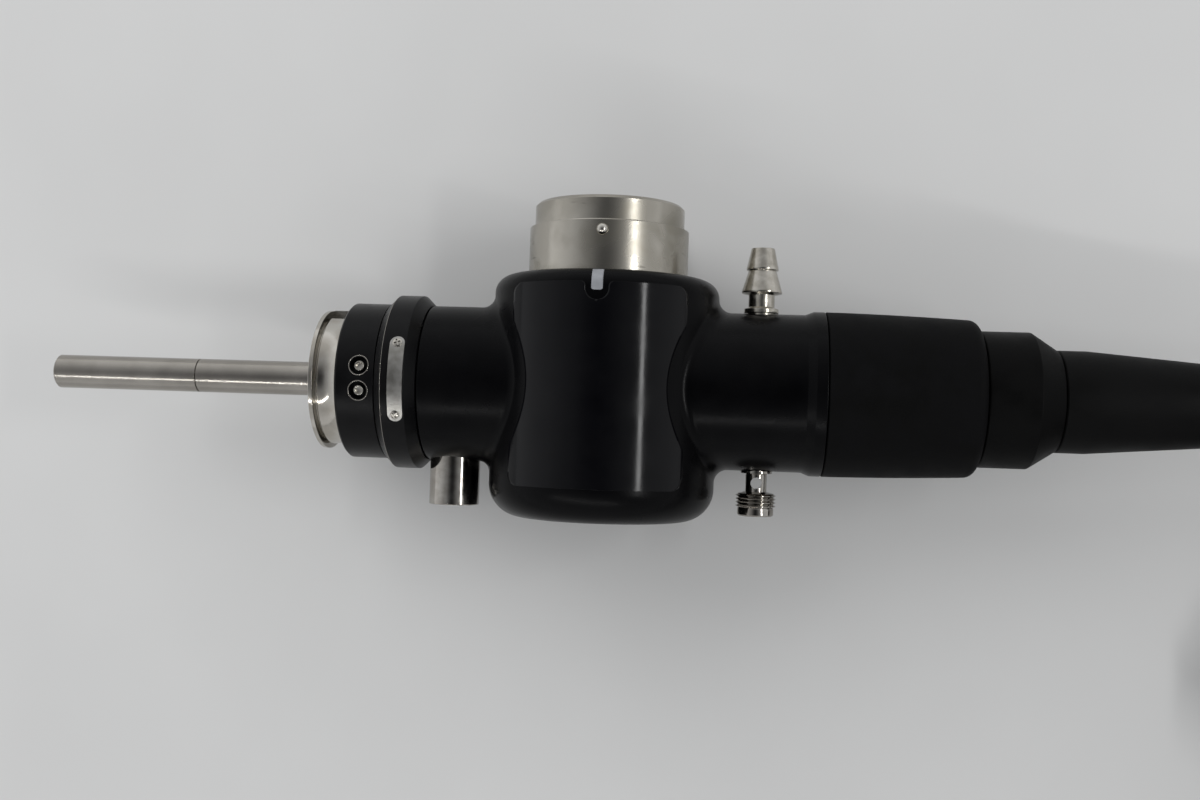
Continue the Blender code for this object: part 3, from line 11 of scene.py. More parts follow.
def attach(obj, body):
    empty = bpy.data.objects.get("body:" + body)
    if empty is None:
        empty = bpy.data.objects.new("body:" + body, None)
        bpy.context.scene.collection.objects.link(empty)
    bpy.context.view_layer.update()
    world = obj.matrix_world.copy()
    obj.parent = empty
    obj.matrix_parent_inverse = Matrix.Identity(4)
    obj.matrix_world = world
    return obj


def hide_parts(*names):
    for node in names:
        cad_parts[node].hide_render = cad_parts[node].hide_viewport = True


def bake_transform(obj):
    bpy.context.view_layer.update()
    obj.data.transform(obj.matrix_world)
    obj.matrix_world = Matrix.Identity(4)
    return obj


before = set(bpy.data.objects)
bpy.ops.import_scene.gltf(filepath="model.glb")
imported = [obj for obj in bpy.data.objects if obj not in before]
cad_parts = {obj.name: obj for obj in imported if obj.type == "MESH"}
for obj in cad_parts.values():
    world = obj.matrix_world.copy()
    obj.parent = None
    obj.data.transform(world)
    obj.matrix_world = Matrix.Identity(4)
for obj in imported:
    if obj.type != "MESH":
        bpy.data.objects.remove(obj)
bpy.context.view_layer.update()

# The camera stands over the connector as the photographer held it: a 38 mm lens on a
# 36 mm wide frame, 0.37 m up, turned a little so that the light guide's end is further off.
MM = 0.001
FOCAL_PX, FRAME_PX = 1261.4, 1200.0
LOOKED_AT = Vector((164.94, 0.0, 0.0)) * MM
CAMERA_OFFSET = Vector((0.0, 3.59, -369.1)) * MM
LEAN, TURN, ROLL = math.radians(1.20), math.radians(5.27), math.radians(1.83)

axes = (Matrix.Rotation(-ROLL, 3, "Z") @ Matrix.Rotation(-TURN, 3, "Y")
        @ Matrix.Rotation(-LEAN, 3, "X"))
lens = bpy.data.cameras.new("camera")
lens.sensor_width = 36.0
lens.lens = lens.sensor_width * FOCAL_PX / FRAME_PX
lens.clip_start = 0.01
lens.clip_end = 50.0
camera = bpy.data.objects.new("camera", lens)
bpy.context.scene.collection.objects.link(camera)
camera.matrix_world = (Matrix.Translation(LOOKED_AT - axes.transposed() @ CAMERA_OFFSET)
                       @ axes.transposed().to_4x4())
bpy.context.scene.camera = camera
bpy.context.scene.view_settings.view_transform = "Standard"

# The bench is a pale grey laminate, wiped clean. Daylight falls on it from the upper left, too
# broad to mirror in the metal. Two ceiling tubes, on the right and on the near side, draw the
# bright lines, and the grey room mirrors in the rest, darkest straight overhead.
BENCH_Z = -32.9 * MM
BENCH_CLOUDS = ("#C7C7C6", "#CBCBCA")
ROOM_OVERHEAD, ROOM_CEILING, ROOM_MIDDLE, ROOM_LOW = "#2E2F31", "#8C8D8F", "#C2C3C5", "#E2E3E5"
WINDOW_WAY = (-0.45, 0.89, 0.0)
BENCH_REACH = 6.0


def linear(colour):
    """An sRGB hex colour as linear red, green, blue and alpha."""
    channels = [int(colour[i:i + 2], 16) / 255.0 for i in (1, 3, 5)]
    return (*(c / 12.92 if c <= 0.04045 else ((c + 0.055) / 1.055) ** 2.4 for c in channels), 1.0)


def add(tree, kind, links=(), **settings):
    """A node with its settings and links. A setting named for an input sets that input."""
    node = tree.nodes.new("ShaderNode" + kind)
    for name, value in settings.items():
        if hasattr(node, name):
            setattr(node, name, value)
        else:
            node.inputs[name.replace("_", " ").title()].default_value = value
    for socket, source in dict(links).items():
        tree.links.new(source, node.inputs[socket])
    return node


def new_finish(name, colour, roughness, metallic=0.0, **sockets):
    """A Principled material of one colour, and its tree and shader to add detail to."""
    made = bpy.data.materials.new(name)
    made.use_nodes = True
    shader = made.node_tree.nodes["Principled BSDF"]
    shader.inputs["Base Color"].default_value = linear(colour)
    shader.inputs["Roughness"].default_value = roughness
    shader.inputs["Metallic"].default_value = metallic
    for name_, value in sockets.items():
        shader.inputs[name_.replace("_", " ").title().replace("Ior", "IOR")].default_value = value
    return made, made.node_tree, shader


laminate, tree, shader = new_finish("grey bench laminate", BENCH_CLOUDS[0], 0.45)
place = add(tree, "TexCoord").outputs["Object"]
clouds = add(tree, "TexNoise", {"Vector": place}, scale=9.0, detail=3.0)
tone = add(tree, "ValToRGB", {"Fac": clouds.outputs["Fac"]})
for stop, share, colour in zip(tone.color_ramp.elements, (0.35, 0.65), BENCH_CLOUDS):
    stop.position, stop.color = share, linear(colour)
tree.links.new(tone.outputs["Color"], shader.inputs["Base Color"])
bench_mesh = bpy.data.meshes.new("bench")
bench_mesh.from_pydata([(BENCH_REACH * x, BENCH_REACH * y, BENCH_Z)
                        for x, y in ((-1, -1), (1, -1), (1, 1), (-1, 1))], [], [(0, 1, 2, 3)])
bench_mesh.materials.append(laminate)
bench = bpy.data.objects.new("bench", bench_mesh)
bpy.context.scene.collection.objects.link(bench)

for name, spot, aim, across, along, power in (
        ("window_upper_left", (-0.60, 0.88, 0.66), (0.15, 0.0, 0.0), 1.40, 1.40, 10.8),
        ("lamp_ceiling_tube", (1.00, 0.03, 0.95), (0.166, 0.03, 0.0), 0.80, 0.085, 3.6),
        ("lamp_near_tube", (-0.10, -0.82, 0.95), (0.10, 0.0, 0.0), 1.40, 0.035, 2.8)):
    light = bpy.data.lights.new(name, "AREA")
    light.shape = "ELLIPSE" if across == along else "RECTANGLE"
    light.size, light.size_y = across, along
    light.energy = power
    lamp = bpy.data.objects.new(name, light)
    bpy.context.scene.collection.objects.link(lamp)
    lamp.location = spot
    lamp.rotation_euler = (Vector(aim) - Vector(spot)).to_track_quat("-Z", "Y").to_euler()
    lamp.visible_glossy = name != "window_upper_left"

room = bpy.data.worlds.new("room")
room.use_nodes = True
bpy.context.scene.world = room
sky = room.node_tree
around = add(sky, "TexCoord").outputs["Generated"]
height = add(sky, "SeparateXYZ", {"Vector": around})
level = add(sky, "MapRange", {"Value": height.outputs["Z"]}, clamp=True, from_min=0.15)
shades = add(sky, "ValToRGB", {"Fac": level.outputs["Result"]})
shades.color_ramp.elements[0].color = linear(ROOM_LOW)
shades.color_ramp.elements[1].color = linear(ROOM_OVERHEAD)
for share, colour in ((0.55, ROOM_MIDDLE), (0.90, ROOM_CEILING)):
    shades.color_ramp.elements.new(share).color = linear(colour)
towards_window = add(sky, "VectorMath", {0: around}, operation="DOT_PRODUCT")
towards_window.inputs[1].default_value = WINDOW_WAY
window = add(sky, "MapRange", {"Value": towards_window.outputs["Value"]}, clamp=True,
             from_min=-1.0, to_min=0.93, to_max=1.36)
sky.links.new(shades.outputs["Color"], sky.nodes["Background"].inputs["Color"])
sky.links.new(window.outputs["Result"], sky.nodes["Background"].inputs["Strength"])

# The universal cord: 1.44 m of 13 mm sheathed cable from the connector's boot to the control
# section's. Its sheath is smooth black polyurethane, drawn over the fibres and tubes, and
# the length between the two boots lies in a coil of two and a half turns.
CORD_DIAMETER = 13.0 * MM
CORD_EXIT = Vector((390.0, 0.0, 0.0)) * MM
CORD_COIL = Vector((576.0, -71.5, 0.0)) * MM
CORD_COIL_RADIUS = 71.5 * MM
CORD_COIL_TURN = math.radians(90.0 + 125.0 + 720.0)
CORD_LOW_Z = -26.1 * MM
CORD_COIL_RISE = 13.2 * MM
CONTROL_AT = Vector((411.0, -17.0, -8.2)) * MM
CORD_PORT_WAY = Vector((math.cos(math.radians(35.0)), -math.sin(math.radians(35.0)), 0.0))
CORD_PORT_AT = CONTROL_AT + Vector((0.0, -26.2, 0.0)) * MM
CORD_BOOT_END = 74.3 * MM


def smooth_line(points, spacing):
    """Points about one spacing apart on a smooth curve through all of these points."""
    line = [Vector(p) for p in points]
    ends = [2.0 * line[0] - line[1], *line, 2.0 * line[-1] - line[-2]]
    found = [line[0]]
    for a, b, c, d in zip(ends, ends[1:], ends[2:], ends[3:]):
        count = max(1, round((c - b).length / spacing))
        for i in range(1, count + 1):
            t = i / count
            found.append(0.5 * (2.0 * b + (c - a) * t + (2.0 * a - 5.0 * b + 4.0 * c - d) * t * t
                                + (3.0 * b - a - 3.0 * c + d) * t ** 3))
    return found


def cable(name, points, diameter, material):
    """A round curve object through the points, closed at its ends."""
    curve = bpy.data.curves.new(name, "CURVE")
    curve.dimensions = "3D"
    curve.bevel_depth = diameter / 2.0
    curve.bevel_resolution = 10
    curve.use_fill_caps = True
    spline = curve.splines.new("POLY")
    spline.points.add(len(points) - 1)
    for point, where in zip(spline.points, points):
        point.co = (*where, 1.0)
    spline.use_smooth = True
    curve.materials.append(material)
    made = bpy.data.objects.new(name, curve)
    bpy.context.scene.collection.objects.link(made)
    return made


def add_grain(tree, shader, millimetres, depth, detail=4.0, stretch=(1.0, 1.0, 1.0)):
    """A bump over the whole surface whose bumps are this many millimetres apart."""
    at = add(tree, "Mapping", {"Vector": add(tree, "TexCoord").outputs["Object"]}, scale=stretch)
    grain = add(tree, "TexNoise", {"Vector": at.outputs["Vector"]}, scale=1.0 / (millimetres * MM),
                detail=detail)
    bump = add(tree, "Bump", {"Height": grain.outputs["Fac"]}, strength=depth, distance=0.1 * MM)
    tree.links.new(bump.outputs["Normal"], shader.inputs["Normal"])
    return grain


# Polyurethane sheath: black with a soft even sheen, and the light orange peel of extrusion.
sheath, tree, shader = new_finish("extruded black polyurethane", "#0C0C0D", 0.42, ior=1.32)
grain = add_grain(tree, shader, 1.4, 0.25)
handled = add(tree, "MapRange", {"Value": grain.outputs["Fac"]}, to_min=0.36, to_max=0.48)
tree.links.new(handled.outputs["Result"], shader.inputs["Roughness"])

cord_points = [CORD_EXIT + Vector(p) * MM for p in (
    (-6, 0, 0), (2, 0, 0), (9, 0, -0.4), (19, 0, -3.2), (35, 0, -9.0), (58, 0, -19.0),
    (78, 0, -25.0), (95, 0, -26.0), (120, 0, -26.1), (141.9, 0, -26.1), (166, 0, -26.1))]
steps = 92
for i in range(steps + 1):
    share = i / steps
    angle = math.radians(90.0) - share * CORD_COIL_TURN
    rise = share * CORD_COIL_TURN / math.tau * CORD_COIL_RISE
    cord_points.append(CORD_COIL + Vector((CORD_COIL_RADIUS * math.cos(angle),
                                           CORD_COIL_RADIUS * math.sin(angle), CORD_LOW_Z + rise)))
leaves = cord_points[-1]
boot_end = CORD_PORT_AT + CORD_PORT_WAY * CORD_BOOT_END
for share, lift in ((0.2, 0.4), (0.4, 1.0), (0.6, 1.2), (0.8, 0.6)):
    point = leaves.lerp(boot_end, share)
    point.z = leaves.z + (boot_end.z - leaves.z) * (3.0 * share ** 2 - 2.0 * share ** 3) + lift * MM
    cord_points.append(point)
cord_points += [boot_end, boot_end - CORD_PORT_WAY * 5.0 * MM]
cord_line = smooth_line(cord_points, 5.0 * MM)
universal_cord = cable("universal_cord", cord_line, CORD_DIAMETER, sheath)
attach(universal_cord, "endoscope")
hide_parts("universal_cord_lead", "universal_cord_coil", "universal_cord_tail")

# The insertion tube: 0.95 m of 9.5 mm tube under a glossy black polymer coating, with white
# depth rings printed each 50 mm. It is coiled down to the bench and ends straight.
TUBE_DIAMETER = 9.5 * MM
TUBE_EXIT = CONTROL_AT + Vector((0.0, -220.0, 0.0)) * MM
TUBE_COIL = Vector((466.0, -283.0, 0.0)) * MM
TUBE_COIL_RADIUS = 55.0 * MM
TUBE_COIL_TURN = math.radians(90.0 + 720.0)
TUBE_HIGH_Z, TUBE_LOW_Z = -6.0 * MM, -27.85 * MM
TUBE_END_X = 591.4 * MM
DEPTH_RING_STEP, DEPTH_RING_WIDTH, DEPTH_RING_PROUD = 50.0 * MM, 1.2 * MM, 0.06 * MM
LAST_DEPTH_RING = 930.0 * MM

# Polymer coating: glossy black that draws the lamps as clean lines, with matt white ink on it.
coating, tree, shader = new_finish("glossy polymer tube coating", "#09090A", 0.22, ior=1.35)
add_grain(tree, shader, 2.5, 0.12)
marking, tree, shader = new_finish("white pad printing ink", "#D9D9D4", 0.5)
add_grain(tree, shader, 0.5, 0.3)
tube_points = [TUBE_EXIT + Vector((0.0, y * MM, z * MM)) for y, z in
               ((5.0, 0.0), (0.0, 0.0), (-12.0, 0.3), (-24.0, 1.0), (-36.0, 1.8))]
steps = 80
for i in range(steps + 1):
    share = i / steps
    angle = math.radians(180.0) + share * TUBE_COIL_TURN
    tube_points.append(TUBE_COIL + Vector((TUBE_COIL_RADIUS * math.cos(angle),
                                           TUBE_COIL_RADIUS * math.sin(angle),
                                           TUBE_HIGH_Z + (TUBE_LOW_Z - TUBE_HIGH_Z) * share)))
tube_y = TUBE_COIL.y - TUBE_COIL_RADIUS
tube_points += [Vector((x * MM, tube_y, TUBE_LOW_Z)) for x in (485, 505, 530, 560, 580)]
tube_points.append(Vector((TUBE_END_X, tube_y, TUBE_LOW_Z)))
tube_line = smooth_line(tube_points, 4.0 * MM)
insertion_tube = cable("insertion_tube", tube_line, TUBE_DIAMETER, coating)
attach(insertion_tube, "endoscope")
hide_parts("insertion_tube_lead", "insertion_tube_coil", "insertion_tube_end")

walked = 0.0
next_ring = 0.0
reversed_line = list(reversed(tube_line))
for here, there in zip(reversed_line, reversed_line[1:]):
    step = (there - here).length
    while walked + step >= next_ring and next_ring < LAST_DEPTH_RING:
        at = here.lerp(there, (next_ring - walked) / step)
        way = (there - here).normalized()
        width = DEPTH_RING_WIDTH * (2.0 if round(next_ring / DEPTH_RING_STEP) % 2 == 0 else 1.0)
        ring = cable("depth_ring_%02d" % round(next_ring / DEPTH_RING_STEP),
                     [at - way * width / 2.0, at + way * width / 2.0],
                     TUBE_DIAMETER + 2.0 * DEPTH_RING_PROUD, marking)
        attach(ring, "endoscope")
        next_ring += DEPTH_RING_STEP
    walked += step

# The light guide rod: a ground stainless steel tube that plugs into the light source, with a
# seam where its two lengths are joined. Grinding lines run round it, with a few rub marks.
ROD_RADIUS = 5.0 * MM
ROD_TIP_CHAMFER = 0.45 * MM
ROD_SEAM_X, ROD_SEAM_DEPTH = 44.2 * MM, 0.6 * MM
ROD_ROOT_X = 88.5 * MM
GLASS_RADIUS, GLASS_DEPTH = 2.6 * MM, 3.0 * MM
PIPE_RADIUS, PIPE_BORE = 2.0 * MM, 1.2 * MM
PIPE_X, PIPE_END_X, PIPE_Z = 59.8 * MM, 83.6 * MM, -12.0 * MM
ALONG_X = Matrix.Rotation(math.radians(90.0), 4, "Y")


def soften(profile, size, pieces=4):
    """The profile with each of its sharp corners replaced by a small arc."""
    points = [Vector(p) for p in profile]
    found = [points[0]]
    for before, corner, after in zip(points, points[1:], points[2:]):
        back, ahead = before - corner, after - corner
        if min(back.length, ahead.length) < 1e-9:
            continue
        bend = math.pi - back.angle(ahead)
        if bend < math.radians(12.0):
            found.append(corner)
            continue
        reach = min(size * math.tan(bend / 2.0), 0.45 * back.length, 0.45 * ahead.length)
        start, end = corner + back.normalized() * reach, corner + ahead.normalized() * reach
        for i in range(pieces + 1):
            t = i / pieces
            found.append(start * (1 - t) ** 2 + corner * (2 * t * (1 - t)) + end * t * t)
    return [tuple(p) for p in (*found, points[-1])]


def lathe(name, profile, material, frame_matrix=ALONG_X, steps=128, closed=False):
    """A turned piece: (place along the axis, radius) points swept round local Z. A radius
    may be a function of the angle, for a piece with lobes."""
    shape = bmesh.new()
    rows = []
    for along, radius in profile:
        if not callable(radius) and radius < 1e-7:
            rows.append([shape.verts.new((0.0, 0.0, along))])
            continue
        row = []
        for turn in (math.tau * i / steps for i in range(steps)):
            reach = radius(turn) if callable(radius) else radius
            row.append(shape.verts.new((reach * math.cos(turn), reach * math.sin(turn), along)))
        rows.append(row)
    bridge(shape, rows + rows[:1] if closed else rows)
    bmesh.ops.recalc_face_normals(shape, faces=shape.faces)
    return made_from(name, shape, material, frame_matrix)


def bridge(shape, rows, ring=True):
    """Faces from each row of points to the next. A row of one point draws them to a tip."""
    for low, high in zip(rows, rows[1:]):
        count = max(len(low), len(high))
        for i in range(count if ring else count - 1):
            j = (i + 1) % count
            shape.faces.new(dict.fromkeys((low[i % len(low)], low[j % len(low)],
                                           high[j % len(high)], high[i % len(high)])))


def made_from(name, shape, material, frame_matrix=Matrix.Identity(4)):
    """An object of the bmesh shape, moved to its frame and shaded."""
    mesh = bpy.data.meshes.new(name)
    shape.to_mesh(mesh)
    shape.free()
    mesh.transform(frame_matrix)
    mesh.materials.append(material)
    made = bpy.data.objects.new(name, mesh)
    bpy.context.scene.collection.objects.link(made)
    return shade(made)


def shade(piece):
    """Smooth shading that keeps the sharp edges."""
    piece.data.shade_smooth()
    piece.data.set_sharp_from_angle(angle=math.radians(32.0))
    even = piece.modifiers.new("even_shading", "WEIGHTED_NORMAL")
    even.keep_sharp = True
    return piece


def seat(piece, slot, *nodes, body="endoscope"):
    """The piece rides on its body and stands for its CAD nodes, which it hides. Its slot is not used.
    """
    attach(piece, body)
    if nodes:
        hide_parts(*nodes)
    return piece


def worn_finish(name, colours, millimetres, roughness, metallic=0.0, grain=None, **sockets):
    """A material that drifts between two colours and two roughnesses over patches this many
    millimetres across. Its grain is the spacing, depth, detail and stretch of its bumps."""
    made, tree, shader = new_finish(name, colours[0], roughness[0], metallic, **sockets)
    at = add(tree, "TexCoord").outputs["Object"]
    patches = add(tree, "TexNoise", {"Vector": at}, scale=1.0 / (millimetres * MM), detail=6.0)
    spread = add(tree, "MapRange", {"Value": patches.outputs["Fac"]}, clamp=True,
                 from_min=0.35, from_max=0.65)
    tone = add(tree, "ValToRGB", {"Fac": spread.outputs["Result"]})
    for stop, colour in zip(tone.color_ramp.elements, colours):
        stop.color = linear(colour)
    tree.links.new(tone.outputs["Color"], shader.inputs["Base Color"])
    rough = add(tree, "MapRange", {"Value": spread.outputs["Result"]},
                to_min=roughness[0], to_max=roughness[1])
    tree.links.new(rough.outputs["Result"], shader.inputs["Roughness"])
    if grain:
        add_grain(tree, shader, *grain)
    return made


# Ground steel: a grey metal, warmer in patches, whose reflections run into lines round it.
ground_steel = worn_finish("ground stainless steel", ("#95918A", "#A09C95"), 9.0, (0.17, 0.23),
                           metallic=1.0, grain=(0.6, 0.18, 2.0, (6.0, 0.6, 0.6)))

rod = lathe("light_guide_tube", soften([
    (0.0, GLASS_RADIUS + 0.05 * MM), (0.0, ROD_RADIUS - ROD_TIP_CHAMFER),
    (ROD_TIP_CHAMFER, ROD_RADIUS),
    (ROD_SEAM_X - 0.16 * MM, ROD_RADIUS), (ROD_SEAM_X - 0.13 * MM, ROD_RADIUS - ROD_SEAM_DEPTH),
    (ROD_SEAM_X + 0.13 * MM, ROD_RADIUS - ROD_SEAM_DEPTH), (ROD_SEAM_X + 0.16 * MM, ROD_RADIUS),
    (ROD_ROOT_X, ROD_RADIUS), (ROD_ROOT_X, 0.0)], 0.05 * MM), ground_steel, steps=96)
seat(rod, "stainless_steel", "light_guide_rod")

# The light guide's end: thousands of glass fibres fused in a ferrule and polished flat.
fibre_glass, tree, shader = new_finish("polished glass fibre bundle", "#C9D2CF", 0.06, ior=1.52)
at = add(tree, "TexCoord").outputs["Object"]
cells = add(tree, "TexVoronoi", {"Vector": at}, scale=1.0 / (0.12 * MM))
tone = add(tree, "ValToRGB", {"Fac": cells.outputs["Distance"]})
tone.color_ramp.elements[0].color = linear("#E3ECE8")
tone.color_ramp.elements[1].color = linear("#6F7A77")
tree.links.new(tone.outputs["Color"], shader.inputs["Base Color"])
seat(lathe("light_guide_fibres",
           [(0.0, 0.0), (0.0, GLASS_RADIUS), (GLASS_DEPTH, GLASS_RADIUS), (GLASS_DEPTH, 0.0)],
           fibre_glass, steps=64), "light_guide_glass", "light_guide_glass")
seat(lathe("air_pipe_tube", soften([
    (PIPE_X, PIPE_BORE), (PIPE_X, PIPE_RADIUS), (PIPE_END_X, PIPE_RADIUS), (PIPE_END_X, PIPE_BORE),
    (PIPE_X, PIPE_BORE)], 0.15 * MM), ground_steel,
    Matrix.Translation((0.0, 0.0, PIPE_Z)) @ ALONG_X, 48), "stainless_steel", "air_pipe")

# The front flange: turned and polished stainless steel, pressed on the rod's root. Its thin rim
# stands before a groove and a waisted drum. A keyway is milled across the drum's top, and the
# key in it, a bar on a thin web, turns the connector the right way round in the light source.
FLANGE_X, COLLAR_X = 83.8 * MM, 92.0 * MM
RIM_END_X, DRUM_X, DRUM_END_X = FLANGE_X + 1.2 * MM, 86.0 * MM, 91.7 * MM

# Polished steel: bright and a little warm, with a faint trace of the turning lines.
polished_steel = worn_finish("polished stainless steel", ("#A8A39A", "#BEBBB4"), 7.0, (0.11, 0.20),
                             metallic=1.0, grain=(0.5, 0.05, 2.0, (5.0, 0.6, 0.6)))

drum = [(DRUM_X + (DRUM_END_X - DRUM_X) * t / 12.0,
         (19.1 + 0.7 * t / 12.0 - 0.55 * math.sin(math.pi * t / 12.0)) * MM) for t in range(13)]
flange = lathe("front_flange_turned", soften([
    (FLANGE_X, 5.05 * MM), (FLANGE_X, 20.4 * MM), (RIM_END_X, 20.4 * MM), (RIM_END_X, 17.6 * MM),
    (DRUM_X - 0.1 * MM, 17.6 * MM), *drum[:-1],
    (DRUM_END_X - 0.45 * MM, 19.7 * MM), (DRUM_END_X - 0.4 * MM, 20.2 * MM),
    (DRUM_END_X, 20.2 * MM), (DRUM_END_X, 17.2 * MM)], 0.15 * MM), polished_steel, steps=192)


def rounded_block(name, size, at, material, edge, turn=Matrix.Identity(4)):
    """A block with rounded edges, turned in place and set at its middle."""
    shape = bmesh.new()
    bmesh.ops.create_cube(shape, size=1.0, matrix=Matrix.Diagonal((*size, 1.0)))
    bmesh.ops.bevel(shape, geom=shape.edges[:], offset=edge, segments=3, affect="EDGES")
    return made_from(name, shape, material, Matrix.Translation(at) @ turn)


def carve(piece, *tools, operation="DIFFERENCE"):
    """The piece with these tools cut out of it, or joined to it, and the tools taken away."""
    piece.modifiers.clear()
    for tool in tools:
        tool.modifiers.clear()
        step = piece.modifiers.new(tool.name, "BOOLEAN")
        step.operation = operation
        step.object = tool
        step.solver = "EXACT"
    bpy.context.view_layer.update()
    graph = bpy.context.evaluated_depsgraph_get()
    mesh = bpy.data.meshes.new_from_object(piece.evaluated_get(graph))
    piece.modifiers.clear()
    piece.data = mesh
    for tool in tools:
        bpy.data.objects.remove(tool)
    return shade(piece)


KEY_TOP_Y, KEY_BAR, KEY_WIDTH, KEY_WEB = 20.5 * MM, 1.3 * MM, 1.8 * MM, 0.8 * MM
KEYWAY_FLOOR_Y, KEYWAY_WIDTH = 17.7 * MM, 14.6 * MM

key_x, key_length = (RIM_END_X + COLLAR_X) / 2.0, COLLAR_X - FLANGE_X - 1.0 * MM
bar = rounded_block("flange_key", (key_length, KEY_BAR, KEY_WIDTH),
                    (key_x, KEY_TOP_Y - KEY_BAR / 2.0, 0.0), ground_steel, 0.15 * MM)
web = rounded_block("key_web", (key_length, KEY_TOP_Y - KEYWAY_FLOOR_Y, KEY_WEB),
                    (key_x, (KEY_TOP_Y + KEYWAY_FLOOR_Y) / 2.0 - 0.5 * MM, 0.0),
                    polished_steel, 0.05 * MM)
seat(carve(bar, web, operation="UNION"), "stainless_steel", "locating_key")
keyway = rounded_block("keyway", (key_length, 4.0 * MM, KEYWAY_WIDTH),
                       (FLANGE_X + 1.4 * MM + key_length / 2.0, KEYWAY_FLOOR_Y + 2.0 * MM, 0.0),
                       polished_steel, 0.05 * MM)
seat(carve(flange, keyway), "stainless_steel", "front_flange")

# The collar and the clamp ring behind it: black anodised aluminium, fine turned and bead
# blasted. Two socket screws hold the collar, sunk in pockets. Handling has rubbed the pockets'
# edges and the ring's front edge down to the metal.
COLLAR_END_X, COLLAR_RADIUS, COLLAR_BORE = 103.3 * MM, 22.8 * MM, 17.4 * MM
SCREW_X, SCREW_ANGLE = 99.0 * MM, math.radians(9.0)
POCKET_RADIUS, POCKET_EDGE = 2.45 * MM, 2.78 * MM
RING_X, RING_END_X, RING_RADIUS, RUBBED_RADIUS = 103.6 * MM, 115.2 * MM, 25.45 * MM, 25.35 * MM

# Anodised aluminium: near black, smoother than the housing, with a fine blasted grain.
anodised = worn_finish("black anodised aluminium", ("#060607", "#0A0A0B"), 6.0, (0.27, 0.37),
                       ior=1.22, grain=(0.35, 0.22, 2.0))

collar = lathe("front_collar_turned", soften([
    (COLLAR_X, COLLAR_BORE), (COLLAR_X, COLLAR_RADIUS - 0.6 * MM),
    (COLLAR_X + 0.6 * MM, COLLAR_RADIUS), (COLLAR_END_X, COLLAR_RADIUS),
    (COLLAR_END_X, COLLAR_BORE)], 0.2 * MM), anodised, steps=192, closed=True)
seat(collar, "black_moulding", "front_collar")
for number, side in ((1, 1.0), (2, -1.0)):
    outward = Matrix.Translation((SCREW_X, 0.0, 0.0)) @ Matrix.Rotation(-side * SCREW_ANGLE, 4, "X")
    drill = lathe("pocket_drill_%d" % number, [
        (COLLAR_RADIUS - 2.4 * MM, 0.0), (COLLAR_RADIUS - 2.4 * MM, POCKET_RADIUS),
        (COLLAR_RADIUS - 0.25 * MM, POCKET_RADIUS),
        (COLLAR_RADIUS + 0.6 * MM, POCKET_RADIUS + 0.7 * MM), (COLLAR_RADIUS + 0.6 * MM, 0.0)],
        anodised, outward, 48)
    carve(collar, drill)
    head = COLLAR_RADIUS - 2.1 * MM
    screw = lathe("collar_screw_head_%d" % number, soften([
        (head, 0.0), (head, 1.4 * MM), (head + 1.4 * MM, 1.4 * MM), (head + 1.4 * MM, 1.0 * MM),
        (head + 0.15 * MM, 0.95 * MM), (head + 0.1 * MM, 0.0)], 0.15 * MM),
        polished_steel, outward, 48)
    seat(screw, "stainless_steel", "collar_screw_%d" % number)
    rim = []
    for a in (math.tau * i / 48.0 for i in range(49)):
        turn = side * SCREW_ANGLE + math.asin(POCKET_EDGE * math.sin(a) / COLLAR_RADIUS)
        rim.append((SCREW_X + POCKET_EDGE * math.cos(a),
                    COLLAR_RADIUS * math.sin(turn), COLLAR_RADIUS * math.cos(turn)))
    seat(cable("pocket_edge_%d" % number, rim, 0.26 * MM, ground_steel), "stainless_steel")

seat(lathe("clamp_ring_turned", soften([
    (RING_X, COLLAR_BORE), (RING_X, RING_RADIUS - 2.4 * MM), (RING_X + 2.4 * MM, RING_RADIUS),
    (RING_END_X - 2.7 * MM, RING_RADIUS), (RING_END_X, RING_RADIUS - 2.7 * MM),
    (RING_END_X, COLLAR_BORE)], 0.35 * MM), anodised, steps=192, closed=True),
    "black_moulding", "clamp_ring")
rubbed = [(RING_X + 2.32 * MM, RUBBED_RADIUS * math.cos(turn), RUBBED_RADIUS * math.sin(turn))
          for turn in (math.tau * i / 192 for i in range(193))]
seat(cable("ring_edge", rubbed, 0.15 * MM, ground_steel), "stainless_steel")

# The plate on the clamp ring: a strip of stainless steel, bent to the ring and held by a
# small crosshead screw at each end. Its face is brushed along its length and left bare.
PLATE_X, PLATE_WIDTH, PLATE_THICKNESS = 110.3 * MM, 4.2 * MM, 0.5 * MM
PLATE_RADIUS = RING_RADIUS + 0.3 * MM
PLATE_REACH = math.radians(26.8)
PLATE_SCREW_ANGLE = math.radians(22.5)

# Brushed steel: pale and silky, its lines along the strip.
brushed_steel = worn_finish("brushed stainless steel strip", ("#97958F", "#B0AEAA"), 3.0,
                            (0.28, 0.38), metallic=1.0, grain=(0.35, 0.22, 2.0, (5.0, 0.35, 0.35)))


def before_shading(piece, name, kind, **settings):
    """A modifier with its settings that works before the one for the shading."""
    step = piece.modifiers.new(name, kind)
    for key, value in settings.items():
        setattr(step, key, value)
    piece.modifiers.move(len(piece.modifiers) - 1, 0)


